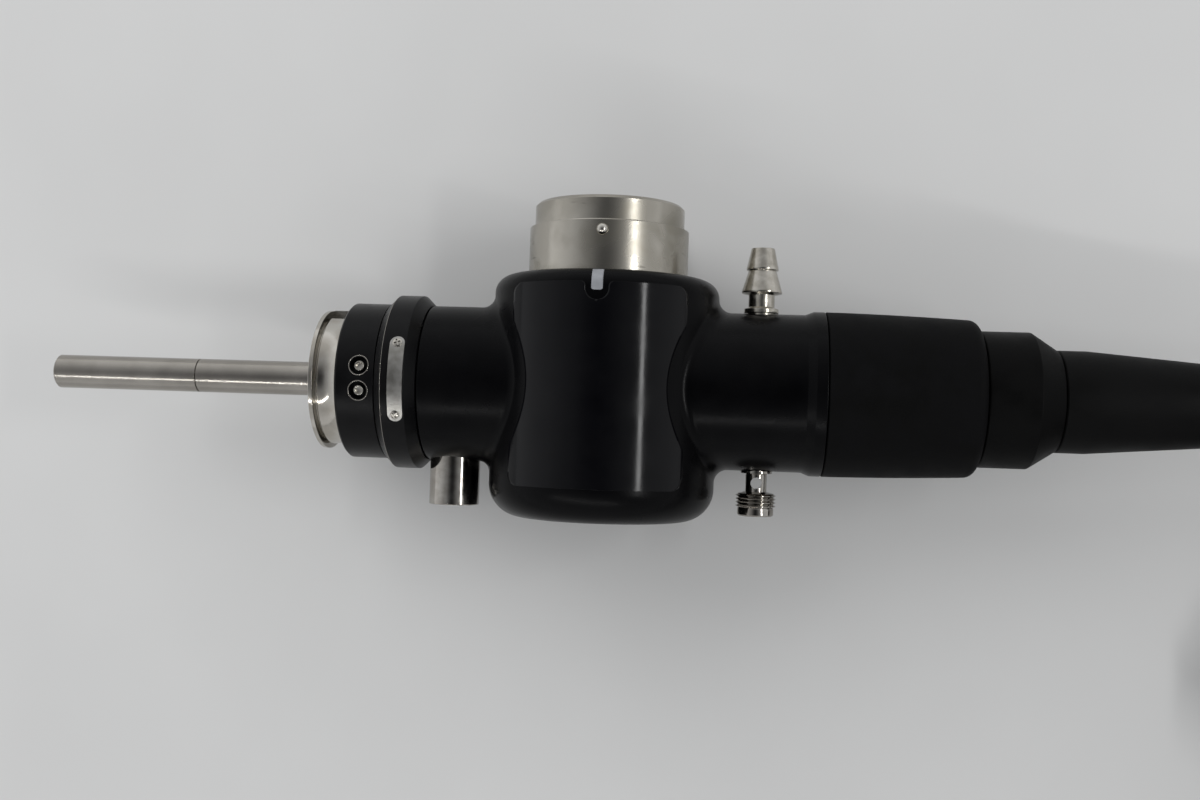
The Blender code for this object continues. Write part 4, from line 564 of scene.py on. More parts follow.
shape = bmesh.new()
rows = []
for i in range(65):
    angle = PLATE_REACH * math.sin(math.radians(-90.0 + 180.0 * i / 64.0))
    from_end = (PLATE_REACH - abs(angle)) * PLATE_RADIUS
    end = PLATE_WIDTH / 2.0
    half = math.sqrt(max(end ** 2 - max(end - from_end, 0.0) ** 2, (0.02 * MM) ** 2))
    rows.append([shape.verts.new((PLATE_X + half * side, radius * math.sin(angle),
                                  radius * math.cos(angle)))
                 for radius, sides in ((PLATE_RADIUS - 0.25 * MM, (-1.0, -0.8, 0.8, 1.0)),
                                       (PLATE_RADIUS + PLATE_THICKNESS, (1.0, 0.8, -0.8, -1.0)))
                 for side in sides])
bridge(shape, rows)
for row in (rows[0], rows[-1]):
    shape.faces.new(row)
bmesh.ops.recalc_face_normals(shape, faces=shape.faces)
plate = made_from("index_plate", shape, brushed_steel)
before_shading(plate, "broken_edges", "BEVEL", width=0.12 * MM, segments=2)
seat(plate, "stainless_steel", "ring_plate")
for number, side in ((1, 1.0), (2, -1.0)):
    outward = (Matrix.Translation((PLATE_X, 0.0, 0.0))
               @ Matrix.Rotation(-side * PLATE_SCREW_ANGLE, 4, "X"))
    top = PLATE_RADIUS + PLATE_THICKNESS
    screw = lathe("plate_screw_head_%d" % number, [
        (top - 0.1 * MM, 0.0), (top - 0.1 * MM, 1.35 * MM), (top + 0.2 * MM, 1.3 * MM),
        (top + 0.42 * MM, 0.9 * MM), (top + 0.5 * MM, 0.0)], polished_steel, outward, 40)
    for half_turn in (0.0, 90.0):
        across = (outward @ Matrix.Translation((0.0, 0.0, top + 0.5 * MM))
                  @ Matrix.Rotation(math.radians(half_turn + 20.0 * number), 4, "Z"))
        carve(screw, rounded_block("screw_slot_%d_%d" % (number, half_turn),
                                   (1.9 * MM, 0.45 * MM, 0.9 * MM), (0.0, 0.0, 0.0),
                                   polished_steel, 0.02 * MM, across))
    seat(screw, "stainless_steel", "plate_screw_%d" % number)

# The housing: one moulding in black polyphenylsulfone that light guide, air and signal meet
# in. Two barrels grow out of a fat cross barrel through a soft rolled fillet.
BODY_X, BODY_RADIUS = 166.25 * MM, 32.7 * MM
BODY_BOTTOM_Y, BODY_TOP_Y = -38.0 * MM, 31.5 * MM
BOTTOM_FILLET, TOP_FILLET = 9.5 * MM, 5.0 * MM
FRONT_BARREL_X, FRONT_BARREL_RADIUS = 115.5 * MM, 22.6 * MM
REAR_BARREL_RADIUS = 22.7 * MM
SADDLE_FILLET, UNDER_SKIN, CAP_REACH = 3.8 * MM, 0.93, 28.5 * MM
FLARE_X, FLARE_END_X, FLARE_RADIUS = 223.6 * MM, 229.1 * MM, 23.64 * MM
SPIGOT_RADIUS, SPIGOT_END_X = 19.1 * MM, 272.0 * MM
POCKET_WALL, POCKET_FLOOR_Y = 23.5 * MM, 14.0 * MM
ALONG_Y = Matrix.Rotation(math.radians(-90.0), 4, "X")

# Satin moulded plastic: near black, with spark eroded texture and a broad soft sheen.
housing_plastic = worn_finish("moulded black polyphenylsulfone", ("#030304", "#060607"), 14.0,
                              (0.23, 0.31), ior=1.16, grain=(0.45, 0.16, 2.0))


def arc(centre, size, start, end, pieces=10):
    """Profile points on a quarter round: centre (along, radius), angles in degrees."""
    turns = [math.radians(start + (end - start) * i / pieces) for i in range(pieces + 1)]
    return [(centre[0] + size * math.cos(t), centre[1] + size * math.sin(t)) for t in turns]


def barrel(shape, radius, profile, side, steps=192, pieces=14):
    """A barrel along X whose far end rolls into the cross barrel over a ball's round.

    The profile holds (x, radius) points from the open end. Side is -1 on the light guide's
    side and 1 on the cord's. The last ring is drawn in under the cross barrel and capped.
    """
    turns = [math.tau * i / steps for i in range(steps)]
    rows = [[shape.verts.new((x, r * math.cos(turn), r * math.sin(turn))) for turn in turns]
            for x, r in profile]
    arcs = [[] for k in range(pieces + 2)]
    for turn in turns:
        around = Vector((0.0, math.cos(turn), math.sin(turn)))
        ball = around * (radius + SADDLE_FILLET)
        ball.x = side * math.sqrt((BODY_RADIUS + SADDLE_FILLET) ** 2 - ball.z ** 2)
        on_barrel = around * radius + Vector((ball.x, 0.0, 0.0))
        share = BODY_RADIUS / (BODY_RADIUS + SADDLE_FILLET)
        on_body = Vector((ball.x * share, ball.y, ball.z * share))
        first, last = (on_barrel - ball).normalized(), (on_body - ball).normalized()
        for k in range(pieces + 1):
            arcs[k].append(ball + first.slerp(last, k / pieces) * SADDLE_FILLET)
        arcs[pieces + 1].append(on_body * UNDER_SKIN)
    rows += [[shape.verts.new((p.x + BODY_X, p.y, p.z)) for p in ring] for ring in arcs]
    bridge(shape, rows)
    for row, x in ((rows[0], profile[0][0]), (rows[-1], BODY_X + side * CAP_REACH)):
        bridge(shape, [row, [shape.verts.new((x, 0.0, 0.0))]])


shape = bmesh.new()
barrel(shape, FRONT_BARREL_RADIUS, [(FRONT_BARREL_X, FRONT_BARREL_RADIUS - 0.3 * MM),
                                    (FRONT_BARREL_X + 0.1 * MM, FRONT_BARREL_RADIUS - 0.08 * MM),
                                    (FRONT_BARREL_X + 0.3 * MM, FRONT_BARREL_RADIUS),
                                    (FRONT_BARREL_X + 1.0 * MM, FRONT_BARREL_RADIUS)], -1.0)
flare = soften([(SPIGOT_END_X, 0.1 * MM), (SPIGOT_END_X, SPIGOT_RADIUS),
                (FLARE_END_X, SPIGOT_RADIUS), (FLARE_END_X, FLARE_RADIUS),
                (FLARE_X + 2.4 * MM, FLARE_RADIUS),
                (FLARE_X, REAR_BARREL_RADIUS), (FLARE_X - 2.0 * MM, REAR_BARREL_RADIUS)], 0.35 * MM)
barrel(shape, REAR_BARREL_RADIUS, flare, 1.0)
bmesh.ops.remove_doubles(shape, verts=shape.verts, dist=0.001 * MM)
bmesh.ops.recalc_face_normals(shape, faces=shape.faces)
barrels = made_from("housing_barrels", shape, housing_plastic)
seat(barrels, "black_moulding")
cross = [(BODY_BOTTOM_Y, 0.0),
         *arc((BODY_BOTTOM_Y + BOTTOM_FILLET, BODY_RADIUS - BOTTOM_FILLET), BOTTOM_FILLET,
              180.0, 90.0, 20),
         *arc((BODY_TOP_Y - TOP_FILLET, BODY_RADIUS - TOP_FILLET), TOP_FILLET, 90.0, 0.0, 14),
         (BODY_TOP_Y, POCKET_WALL + 0.3 * MM), (BODY_TOP_Y - 0.3 * MM, POCKET_WALL),
         (POCKET_FLOOR_Y, POCKET_WALL), (POCKET_FLOOR_Y, 0.0)]
seat(lathe("housing_body", cross, housing_plastic,
           Matrix.Translation((BODY_X, 0.0, 0.0)) @ ALONG_Y, 256), "black_moulding", "housing")

# The label film: a thin polyester sheet with a gloss overlay, stuck over the cross barrel
# between the two fillets, its corners round. Here it is bare. A notch clears the index mark.
FILM_TOP_Y, FILM_BOTTOM_Y = 27.6 * MM, -28.3 * MM
FILM_MOST_HALF, FILM_KEEPS_OFF = 24.0 * MM, 3.2 * MM
FILM_CORNER, FILM_THICKNESS = 3.0 * MM, 0.14 * MM
FILM_NOTCH_HALF, FILM_NOTCH_Y, FILM_NOTCH_FLARE = 3.1 * MM, 22.6 * MM, 1.4 * MM

# Screen printed polyester: glossy black over the satin housing, a touch bluer than it.
film_gloss = worn_finish("gloss polyester label film", ("#050507", "#08080A"), 11.0, (0.11, 0.16),
                         ior=1.26, grain=(2.2, 0.10, 2.0))


def film_half(y):
    """Half the film's width at y: it keeps off the fillets, and its corners are round."""
    reach, barrel_reach = BODY_RADIUS + SADDLE_FILLET, FRONT_BARREL_RADIUS + SADDLE_FILLET
    saddle = math.sqrt(reach ** 2 - barrel_reach ** 2 + y * y)
    half = min(FILM_MOST_HALF, saddle * BODY_RADIUS / reach - FILM_KEEPS_OFF)
    inset = max(FILM_CORNER - (FILM_TOP_Y - y), FILM_CORNER - (y - FILM_BOTTOM_Y), 0.0)
    return half - FILM_CORNER + math.sqrt(max(FILM_CORNER ** 2 - inset ** 2, 0.0))


def notch_half(y):
    """Half the notch's width at y: a round floor, and lips that flare at the film's edge."""
    if y <= FILM_NOTCH_Y:
        return 0.0
    near = max(FILM_NOTCH_HALF - (y - FILM_NOTCH_Y), 0.0)
    flared = max(FILM_NOTCH_FLARE - (FILM_TOP_Y - y), 0.0)
    return (math.sqrt(FILM_NOTCH_HALF ** 2 - near ** 2) + FILM_NOTCH_FLARE
            - math.sqrt(FILM_NOTCH_FLARE ** 2 - flared ** 2))


shape = bmesh.new()
levels = {FILM_BOTTOM_Y + (FILM_TOP_Y - FILM_BOTTOM_Y) * i / 90.0 for i in range(91)}
for y, reach, count in ((FILM_NOTCH_Y, FILM_NOTCH_HALF, 12), (FILM_TOP_Y, -FILM_CORNER, 10),
                        (FILM_BOTTOM_Y, FILM_CORNER, 10)):
    levels |= {y + reach * (1.0 - math.cos(math.radians(90.0 * i / count)))
               for i in range(count + 1)}
levels = sorted(levels)
for side in (-1.0, 1.0):
    rows = []
    for y in levels:
        inner, outer = notch_half(y), film_half(y)
        spread = [inner + (outer - inner) * k / 40.0 for k in range(41)]
        rows.append([shape.verts.new((BODY_X + side * x, y,
                                      math.sqrt(BODY_RADIUS ** 2 - x * x) + 0.01 * MM))
                     for x in spread])
    for low, high in zip(rows, rows[1:]):
        for k in range(40):
            shape.faces.new((low[k], low[k + 1], high[k + 1], high[k])[::int(side)])
bmesh.ops.remove_doubles(shape, verts=shape.verts, dist=0.002 * MM)
bmesh.ops.recalc_face_normals(shape, faces=shape.faces)
film = made_from("label_film", shape, film_gloss)
before_shading(film, "film_thickness", "SOLIDIFY", thickness=FILM_THICKNESS, offset=1.0)
seat(film, "black_moulding")

# The index mark: a short groove milled over the cross barrel's rounded edge and filled with
# light grey enamel. It shows which way the water cap goes on.
MARK_WIDTH, MARK_START_Y, MARK_END_Y = 3.1 * MM, 25.2 * MM, 31.1 * MM
MARK_CORNER, PAINT_DEPTH = 0.6 * MM, 0.35 * MM

# Filling enamel: light grey and half matt, a little uneven where it was wiped flush.
mark_paint = worn_finish("light grey filling enamel", ("#7E8084", "#8A8C90"), 2.0, (0.36, 0.48),
                         ior=1.4, grain=(0.4, 0.2, 2.0))
shape = bmesh.new()
rows = []
for k in range(29):
    y = MARK_START_Y + (MARK_END_Y - MARK_START_Y) * k / 28.0
    over = max(y - (BODY_TOP_Y - TOP_FILLET), 0.0)
    radius = BODY_RADIUS - TOP_FILLET + math.sqrt(max(TOP_FILLET ** 2 - over ** 2, 0.0)) + 0.05 * MM
    round_end = max(MARK_CORNER - (y - MARK_START_Y), 0.0)
    half = MARK_WIDTH / 2.0 - MARK_CORNER + math.sqrt(MARK_CORNER ** 2 - round_end ** 2)
    rows.append([shape.verts.new((BODY_X + x, y, math.sqrt(radius ** 2 - x ** 2)))
                 for x in (half * (j / 4.0 - 1.0) for j in range(9))])
bridge(shape, rows, ring=False)
mark = made_from("index_mark", shape, mark_paint)
before_shading(mark, "paint_thickness", "SOLIDIFY", thickness=PAINT_DEPTH, offset=-1.0)
seat(mark, "grey_moulding")

# The electrical socket: a shell of stainless steel, turned and brushed round, with a step
# for the water cap's seal and two bayonet pins. Contact pins stand in a black block inside.
SOCKET_RADIUS, SOCKET_NECK_RADIUS, SOCKET_BORE = 23.2 * MM, 21.8 * MM, 19.2 * MM
SOCKET_STEP_Y, SOCKET_TOP_Y = 45.8 * MM, 53.0 * MM
BAYONET_Y, BAYONET_RADIUS, BAYONET_HEIGHT = 43.0 * MM, 1.7 * MM, 1.6 * MM
BLOCK_TOP_Y, BLOCK_RADIUS = 33.0 * MM, 18.9 * MM
PIN_TOP_Y, PIN_RADIUS = 39.5 * MM, 0.9 * MM
PIN_CIRCLES = ((13.5 * MM, 12), (7.0 * MM, 6))
SOCKET_AXIS = Matrix.Translation((BODY_X, 0.0, 0.0)) @ ALONG_Y

# Turned steel, handled for years: lines round the shell, dull smudges and a few scratches.
turned_steel, tree, shader = new_finish("turned stainless steel", "#A39F95", 0.24, 1.0)
at = add(tree, "TexCoord").outputs["Object"]
smudge = add(tree, "TexNoise", {"Vector": at}, scale=1.0 / (13.0 * MM), detail=2.5, distortion=0.3)
smudged = add(tree, "MapRange", {"Value": smudge.outputs["Fac"]}, clamp=True,
              from_min=0.42, from_max=0.68)
tone = add(tree, "ValToRGB", {"Fac": smudged.outputs["Result"]})
tone.color_ramp.elements[0].color = linear("#ACA89F")
tone.color_ramp.elements[1].color = linear("#918D83")
lines_at = add(tree, "Mapping", {"Vector": at}, scale=(0.03, 1.0, 0.03))
lines = add(tree, "TexNoise", {"Vector": lines_at.outputs["Vector"]}, scale=1.0 / (0.28 * MM),
            detail=4.0)
scratch_at = add(tree, "Mapping", {"Vector": at}, rotation=(0.0, 0.0, math.radians(38.0)),
                 scale=(0.12, 1.0, 0.12))
scratches = add(tree, "TexNoise", {"Vector": scratch_at.outputs["Vector"]}, scale=1.0 / (0.9 * MM),
                detail=2.0)
scratched = add(tree, "MapRange", {"Value": scratches.outputs["Fac"]}, clamp=True,
                from_min=0.71, from_max=0.78)
dull = add(tree, "Mix", {"Factor": scratched.outputs["Result"]}, data_type="RGBA")
tree.links.new(tone.outputs["Color"], dull.inputs[6])
dull.inputs[7].default_value = linear("#6E6A62")
tree.links.new(dull.outputs[2], shader.inputs["Base Color"])
rough = add(tree, "MapRange", {"Value": smudged.outputs["Result"]}, to_min=0.20, to_max=0.32)
tree.links.new(rough.outputs["Result"], shader.inputs["Roughness"])
bump = add(tree, "Bump", {"Height": lines.outputs["Fac"]}, strength=0.12, distance=0.05 * MM)
tree.links.new(bump.outputs["Normal"], shader.inputs["Normal"])

seat(lathe("socket_shell_turned", soften([
    (POCKET_FLOOR_Y + 0.1 * MM, SOCKET_BORE), (POCKET_FLOOR_Y + 0.1 * MM, SOCKET_RADIUS),
    (SOCKET_STEP_Y, SOCKET_RADIUS), (SOCKET_STEP_Y + 0.15 * MM, SOCKET_NECK_RADIUS + 0.15 * MM),
    (SOCKET_STEP_Y + 0.4 * MM, SOCKET_NECK_RADIUS), (SOCKET_TOP_Y - 0.9 * MM, SOCKET_NECK_RADIUS),
    (SOCKET_TOP_Y, SOCKET_NECK_RADIUS - 0.9 * MM), (SOCKET_TOP_Y, SOCKET_BORE)], 0.14 * MM),
    turned_steel, SOCKET_AXIS, 256, closed=True), "stainless_steel", "socket_shell")
for number, side in ((1, 1.0), (2, -1.0)):
    dome = [(-1.0 * MM, BAYONET_RADIUS)] + [
        (BAYONET_HEIGHT * math.sin(math.radians(t)), BAYONET_RADIUS * math.cos(math.radians(t)))
        for t in range(0, 91, 9)]
    pin_axis = (Matrix.Translation((BODY_X, BAYONET_Y, side * (SOCKET_RADIUS - 0.1 * MM)))
                @ Matrix.Rotation(math.radians(0.0 if side > 0.0 else 180.0), 4, "X"))
    seat(lathe("bayonet_pin_dome_%d" % number, [(-1.0 * MM, 0.0), *dome],
               polished_steel, pin_axis, 48), "stainless_steel", "bayonet_pin_%d" % number)

# The moulded block is a dull near black, and the gold plated pins glint a warm yellow in it.
contact_moulding = worn_finish("moulded black contact block", ("#0A0A0B", "#0F0F10"), 5.0,
                               (0.45, 0.58), ior=1.3, grain=(0.3, 0.3, 2.0))
gold = worn_finish("gold plated contact pin", ("#BE9642", "#D3AD58"), 1.5, (0.18, 0.30),
                   metallic=1.0)
seat(lathe("contact_block_moulding", soften([
    (POCKET_FLOOR_Y + 0.2 * MM, 0.0), (POCKET_FLOOR_Y + 0.2 * MM, BLOCK_RADIUS),
    (BLOCK_TOP_Y, BLOCK_RADIUS), (BLOCK_TOP_Y, 16.6 * MM), (BLOCK_TOP_Y - 1.0 * MM, 16.2 * MM),
    (BLOCK_TOP_Y - 1.0 * MM, 0.0)], 0.3 * MM), contact_moulding, SOCKET_AXIS, 128),
    "black_moulding", "contact_block")
shape = bmesh.new()
for circle, count in PIN_CIRCLES:
    for i in range(count):
        turn = math.tau * i / count
        for y0, y1, radius in ((BLOCK_TOP_Y - 2.0 * MM, PIN_TOP_Y - 0.5 * MM, PIN_RADIUS),
                               (PIN_TOP_Y - 0.5 * MM, PIN_TOP_Y, PIN_RADIUS)):
            middle = Vector((circle * math.cos(turn), circle * math.sin(turn), (y0 + y1) / 2.0))
            bmesh.ops.create_cone(shape, cap_ends=True, segments=24, radius1=radius,
                                  radius2=radius if y1 < PIN_TOP_Y else radius * 0.45, depth=y1 - y0,
                                  matrix=Matrix.Translation(middle))
seat(made_from("contact_pins", shape, gold, SOCKET_AXIS), "stainless_steel")

# The suction nipple: turned stainless steel, with two barbs that grip the suction pump's
# tube. It screws into the housing over a thin round foot.
PORT_X = 211.1 * MM
PORT_UP = Matrix.Translation((PORT_X, 0.0, 0.0)) @ ALONG_Y

# Fine turned steel: bright, with turning lines round it that stretch its reflections.
port_steel = worn_finish("fine turned stainless steel", ("#A5A096", "#BFBBB2"), 3.0, (0.14, 0.26),
                         metallic=1.0, grain=(0.35, 0.12, 2.0, (0.3, 5.0, 0.3)))

seat(lathe("suction_nipple_turned", soften([(y * MM, r * MM) for y, r in (
    (19.0, 0.0), (19.0, 4.0), (22.9, 4.0), (22.9, 4.95), (24.1, 4.95), (24.6, 3.75), (28.2, 3.75),
    (28.7, 5.8), (29.2, 5.8), (35.2, 4.0), (35.4, 4.6), (35.9, 4.6), (41.7, 3.35), (41.7, 2.4),
    (26.0, 2.4), (26.0, 0.0))], 0.14 * MM), port_steel, PORT_UP, 96),
    "stainless_steel", "suction_nipple")

# The venting connector: a bored stem with a cross hole, and a threaded head with a slot for
# its key. Turned stainless steel, brightly polished and screwed into the housing's lower side.
ALONG_MINUS_Y = Matrix.Rotation(math.radians(90.0), 4, "X")
VENT_DOWN = Matrix.Translation((PORT_X, 0.0, 0.0)) @ ALONG_MINUS_Y
THREAD_START, THREAD_PITCH, THREAD_TURNS = 29.2 * MM, 1.0 * MM, 4
HEAD_RADIUS, THREAD_DEPTH = 5.75 * MM, 0.7 * MM
CROSS_HOLE_Y, CROSS_HOLE_RADIUS, CROSS_HOLE_REACH = -26.1 * MM, 1.65 * MM, 8.0 * MM

# Bright polished steel: it mirrors the dark housing and the lamps almost without blur.
chrome = worn_finish("bright polished stainless steel", ("#948F88", "#A9A6A0"), 3.5, (0.07, 0.15),
                     metallic=1.0)

head = [(20.0 * MM, 0.0), (20.0 * MM, 3.05 * MM), (22.6 * MM, 3.05 * MM), (22.6 * MM, 4.5 * MM),
        (23.3 * MM, 4.5 * MM), (23.6 * MM, 3.05 * MM), (28.6 * MM, 3.05 * MM),
        (29.1 * MM, HEAD_RADIUS - 0.4 * MM)]
for k in range(THREAD_TURNS):
    start = THREAD_START + k * THREAD_PITCH
    head += [(start + share * THREAD_PITCH, radius) for share, radius in (
        (0.0, HEAD_RADIUS - THREAD_DEPTH), (0.42, HEAD_RADIUS), (0.54, HEAD_RADIUS),
        (0.95, HEAD_RADIUS - THREAD_DEPTH))]
head += [(33.5 * MM, 5.2 * MM), (35.2 * MM, 5.2 * MM), (35.6 * MM, 4.8 * MM), (35.6 * MM, 2.0 * MM),
         (33.0 * MM, 1.8 * MM), (33.0 * MM, 0.0)]
vent = lathe("venting_head", head, chrome, VENT_DOWN, 96)
hole = lathe("venting_hole", [(-CROSS_HOLE_REACH, 0.0), (-CROSS_HOLE_REACH, CROSS_HOLE_RADIUS),
                              (CROSS_HOLE_REACH, CROSS_HOLE_RADIUS), (CROSS_HOLE_REACH, 0.0)],
             chrome, Matrix.Translation((PORT_X, CROSS_HOLE_Y, 0.0)), 48)
slot_cutter = rounded_block("key_slot", (16.0 * MM, 2.4 * MM, 1.2 * MM), (PORT_X, -35.6 * MM, 0.0),
                            chrome, 0.05 * MM)
carve(vent, hole, slot_cutter)
seat(vent, "stainless_steel", "venting_connector")

# The water supply connector: a bright stainless steel sleeve that leaves the housing under
# its front barrel, open at its end for the water bottle's plug.
SUPPLY_AT = Matrix.Translation((122.85 * MM, 0.0, 0.0)) @ ALONG_MINUS_Y
SUPPLY_END, SUPPLY_RADIUS, SUPPLY_BORE = 35.6 * MM, 7.3 * MM, 5.4 * MM

seat(lathe("supply_sleeve", soften([
    (17.0 * MM, 0.0), (17.0 * MM, SUPPLY_RADIUS), (SUPPLY_END, SUPPLY_RADIUS),
    (SUPPLY_END, SUPPLY_BORE), (23.6 * MM, SUPPLY_BORE), (23.6 * MM, 0.0)], 0.3 * MM),
    chrome, SUPPLY_AT, 128),
    "stainless_steel", "supply_connector")

# The grip sleeve: a tapered sleeve of black silicone rubber drawn over the housing's spigot.
# Its mould was bead blasted, so it takes light without a gloss.
SLEEVE_X, SLEEVE_END_X = 229.4 * MM, 272.0 * MM
SLEEVE_RADIUS, SLEEVE_END_RADIUS, SLEEVE_BORE = 23.64 * MM, 22.45 * MM, 19.4 * MM
SLEEVE_ROUND = 3.0 * MM

silicone = worn_finish("bead blasted black silicone", ("#060606", "#0A0A0B"), 8.0, (0.56, 0.68),
                       ior=1.14, grain=(0.25, 0.35, 3.0))

sleeve = [(SLEEVE_X, SLEEVE_BORE), (SLEEVE_X, SLEEVE_RADIUS - 0.25 * MM),
          (SLEEVE_X + 0.25 * MM, SLEEVE_RADIUS)]
for k in range(1, 13):
    share = k / 12.0
    along = SLEEVE_X + (SLEEVE_END_X - SLEEVE_ROUND - SLEEVE_X) * share
    sleeve.append((along, SLEEVE_RADIUS + (SLEEVE_END_RADIUS - SLEEVE_RADIUS) * share ** 1.6))
sleeve += arc((SLEEVE_END_X - SLEEVE_ROUND, SLEEVE_END_RADIUS - SLEEVE_ROUND), SLEEVE_ROUND,
              90.0, 0.0, 14)[1:]
sleeve += [(SLEEVE_END_X, SLEEVE_BORE)]
seat(lathe("grip_sleeve_moulding", sleeve, silicone, steps=192, closed=True),
     "black_rubber", "grip_sleeve")

# The cord nut: a moulded collar with a cone, in a fine grained black plastic. It is screwed
# on the spigot, and clamps the cord's boot.
NUT_X, CONE_X, NUT_END_X = 272.3 * MM, 286.4 * MM, 293.9 * MM
NUT_RADIUS, NUT_BORE, BOOT_RADIUS = 19.4 * MM, 12.4 * MM, 14.5 * MM

# Fine grained plastic: black and matt, so that the cone shows only as a soft shade.
nut_plastic = worn_finish("fine grained black moulding", ("#040404", "#070707"), 7.0, (0.40, 0.54),
                          ior=1.14, grain=(0.3, 0.3, 3.0))
seat(lathe("cord_nut_moulding", soften([
    (NUT_X, NUT_BORE), (NUT_X, NUT_RADIUS), (CONE_X, NUT_RADIUS), (NUT_END_X, BOOT_RADIUS),
    (NUT_END_X, NUT_BORE)], 0.7 * MM, 6), nut_plastic, steps=192, closed=True),
    "black_moulding", "cord_nut")

# The connector's boot: a long taper of black rubber that keeps the cord from kinking. The
# mould left a dull skin, paler where hands have rubbed it.
BOOT_X, BOOT_TAPER_X, BOOT_END_X = 294.2 * MM, 302.5 * MM, 390.0 * MM
BOOT_END_RADIUS, BOOT_ROUND = 7.4 * MM, 1.2 * MM

boot_rubber = worn_finish("moulded black rubber", ("#050505", "#090909"), 12.0, (0.44, 0.58),
                          ior=1.16, grain=(0.35, 0.3, 3.0))

boot = [(BOOT_X, 0.0), (BOOT_X, BOOT_RADIUS - 0.3 * MM), (BOOT_X + 0.3 * MM, BOOT_RADIUS)]
for k in range(25):
    share = k / 24.0
    along = BOOT_TAPER_X + (BOOT_END_X - BOOT_ROUND - BOOT_TAPER_X) * share
    boot.append((along, BOOT_RADIUS + (BOOT_END_RADIUS - BOOT_RADIUS) * share))
boot += arc((BOOT_END_X - BOOT_ROUND, BOOT_END_RADIUS - BOOT_ROUND), BOOT_ROUND, 90.0, 0.0, 6)[1:]
boot += [(BOOT_END_X, CORD_DIAMETER / 2.0 + 0.05 * MM),
         (BOOT_END_X - 2.0 * MM, CORD_DIAMETER / 2.0), (BOOT_END_X - 2.0 * MM, 0.0)]
seat(lathe("connector_boot_moulding", boot, boot_rubber, steps=160),
     "black_rubber", "connector_boot")

# The control section's body: a black moulded case, held in the left hand, with bosses for
# the universal cord and the knobs and with sockets for the valves and remote switches.
CONTROL = Matrix.Translation(CONTROL_AT) @ Matrix.Rotation(math.radians(-90.0), 4, "Z")
CASE_HALF_WIDTH, CASE_FRONT, CASE_EDGE = 17.0 * MM, 17.0 * MM, 4.5 * MM
KNOB_WAY = CONTROL @ Matrix.Translation((62.0 * MM, 0.0, 0.0)) @ ALONG_MINUS_Y
PORT_WAY = (CONTROL @ Matrix.Translation((26.2 * MM, 0.0, 0.0))
            @ Matrix.Rotation(math.radians(-35.0), 4, "Z") @ ALONG_Y)
VALVES = (("suction", 42.0 * MM), ("air_water", 68.0 * MM))
SWITCH_APART, SWITCH_BACK = 4.7 * MM, 18.0 * MM
SWITCHES = [(number, CONTROL @ Matrix.Translation((0.0, 0.0, side * SWITCH_APART))
             @ Matrix.Rotation(math.radians(-90.0), 4, "Y"), 0.0)
            for number, side in ((1, 1.0), (2, -1.0))]
SWITCHES += [(number, CONTROL @ Matrix.Translation((SWITCH_BACK, side * SWITCH_APART, 0.0)),
              CASE_FRONT) for number, side in ((3, 1.0), (4, -1.0))]


def prism(outline, low, high):
    """A block of this outline between two heights, and the edges round its two ends."""
    shape = bmesh.new()
    ends = [[shape.verts.new((x, y, z)) for x, y in outline] for z in (low, high)]
    caps = [shape.faces.new(reversed(ends[0])), shape.faces.new(ends[1])]
    bridge(shape, ends)
    return shape, list({line for cap in caps for line in cap.edges})


case_side = [(x * MM, z * MM) for x, z in
             ((0, -13), (0, 13), (7, 17), (80, 17), (95, 13.5), (95, -13.5), (78, -17), (10, -17))]
shape = prism(case_side, -CASE_HALF_WIDTH, CASE_HALF_WIDTH)[0]
bmesh.ops.recalc_face_normals(shape, faces=shape.faces)
bmesh.ops.bevel(shape, geom=shape.edges[:], offset=CASE_EDGE, segments=8, profile=0.5, affect="EDGES")
case = made_from("control_case", shape, housing_plastic, CONTROL @ ALONG_MINUS_Y)
bosses = [lathe(name, soften([(start, 0.0), (start, radius), (end, radius), (end, 0.0)], size),
                housing_plastic, way, 96) for name, start, end, radius, size, way in (
    ("cord_boss", 8.0 * MM, 29.0 * MM, 12.0 * MM, 1.2 * MM, PORT_WAY),
    ("knob_boss", 15.0 * MM, 20.0 * MM, 13.0 * MM, 0.6 * MM, KNOB_WAY))]
carve(case, *bosses, operation="UNION")
bores = [("spindle_seat", 5.7 * MM, 30.0 * MM, 3.8 * MM, KNOB_WAY, 48)]
bores += [(name + "_bore", 4.7 * MM, 25.0 * MM, 4.5 * MM,
           CONTROL @ Matrix.Translation((x, 0.0, 0.0)), 64) for name, x in VALVES]
bores += [("switch_pocket_%d" % number, face - 3.5 * MM, face + 3.0 * MM, 3.9 * MM, way, 48)
          for number, way, face in SWITCHES]
carve(case, *[lathe(name, [(start, 0.0), (start, radius), (end, radius), (end, 0.0)],
                    housing_plastic, way, count) for name, start, end, radius, way, count in bores])
seat(case, "black_moulding", "control_body")

# The grip, moulded in black with a faint swell for the palm, carries the channel's boss.
# Below it a rubber boot guards the insertion tube, and another guards the universal cord.
GRIP_START, GRIP_END, CHANNEL_BACK = 95.3 * MM, 175.0 * MM, 5.0 * MM
CHANNEL_WAY = (CONTROL @ Matrix.Translation((GRIP_END - CHANNEL_BACK, 0.0, 0.0))
               @ Matrix.Rotation(math.radians(-40.0), 4, "Y"))

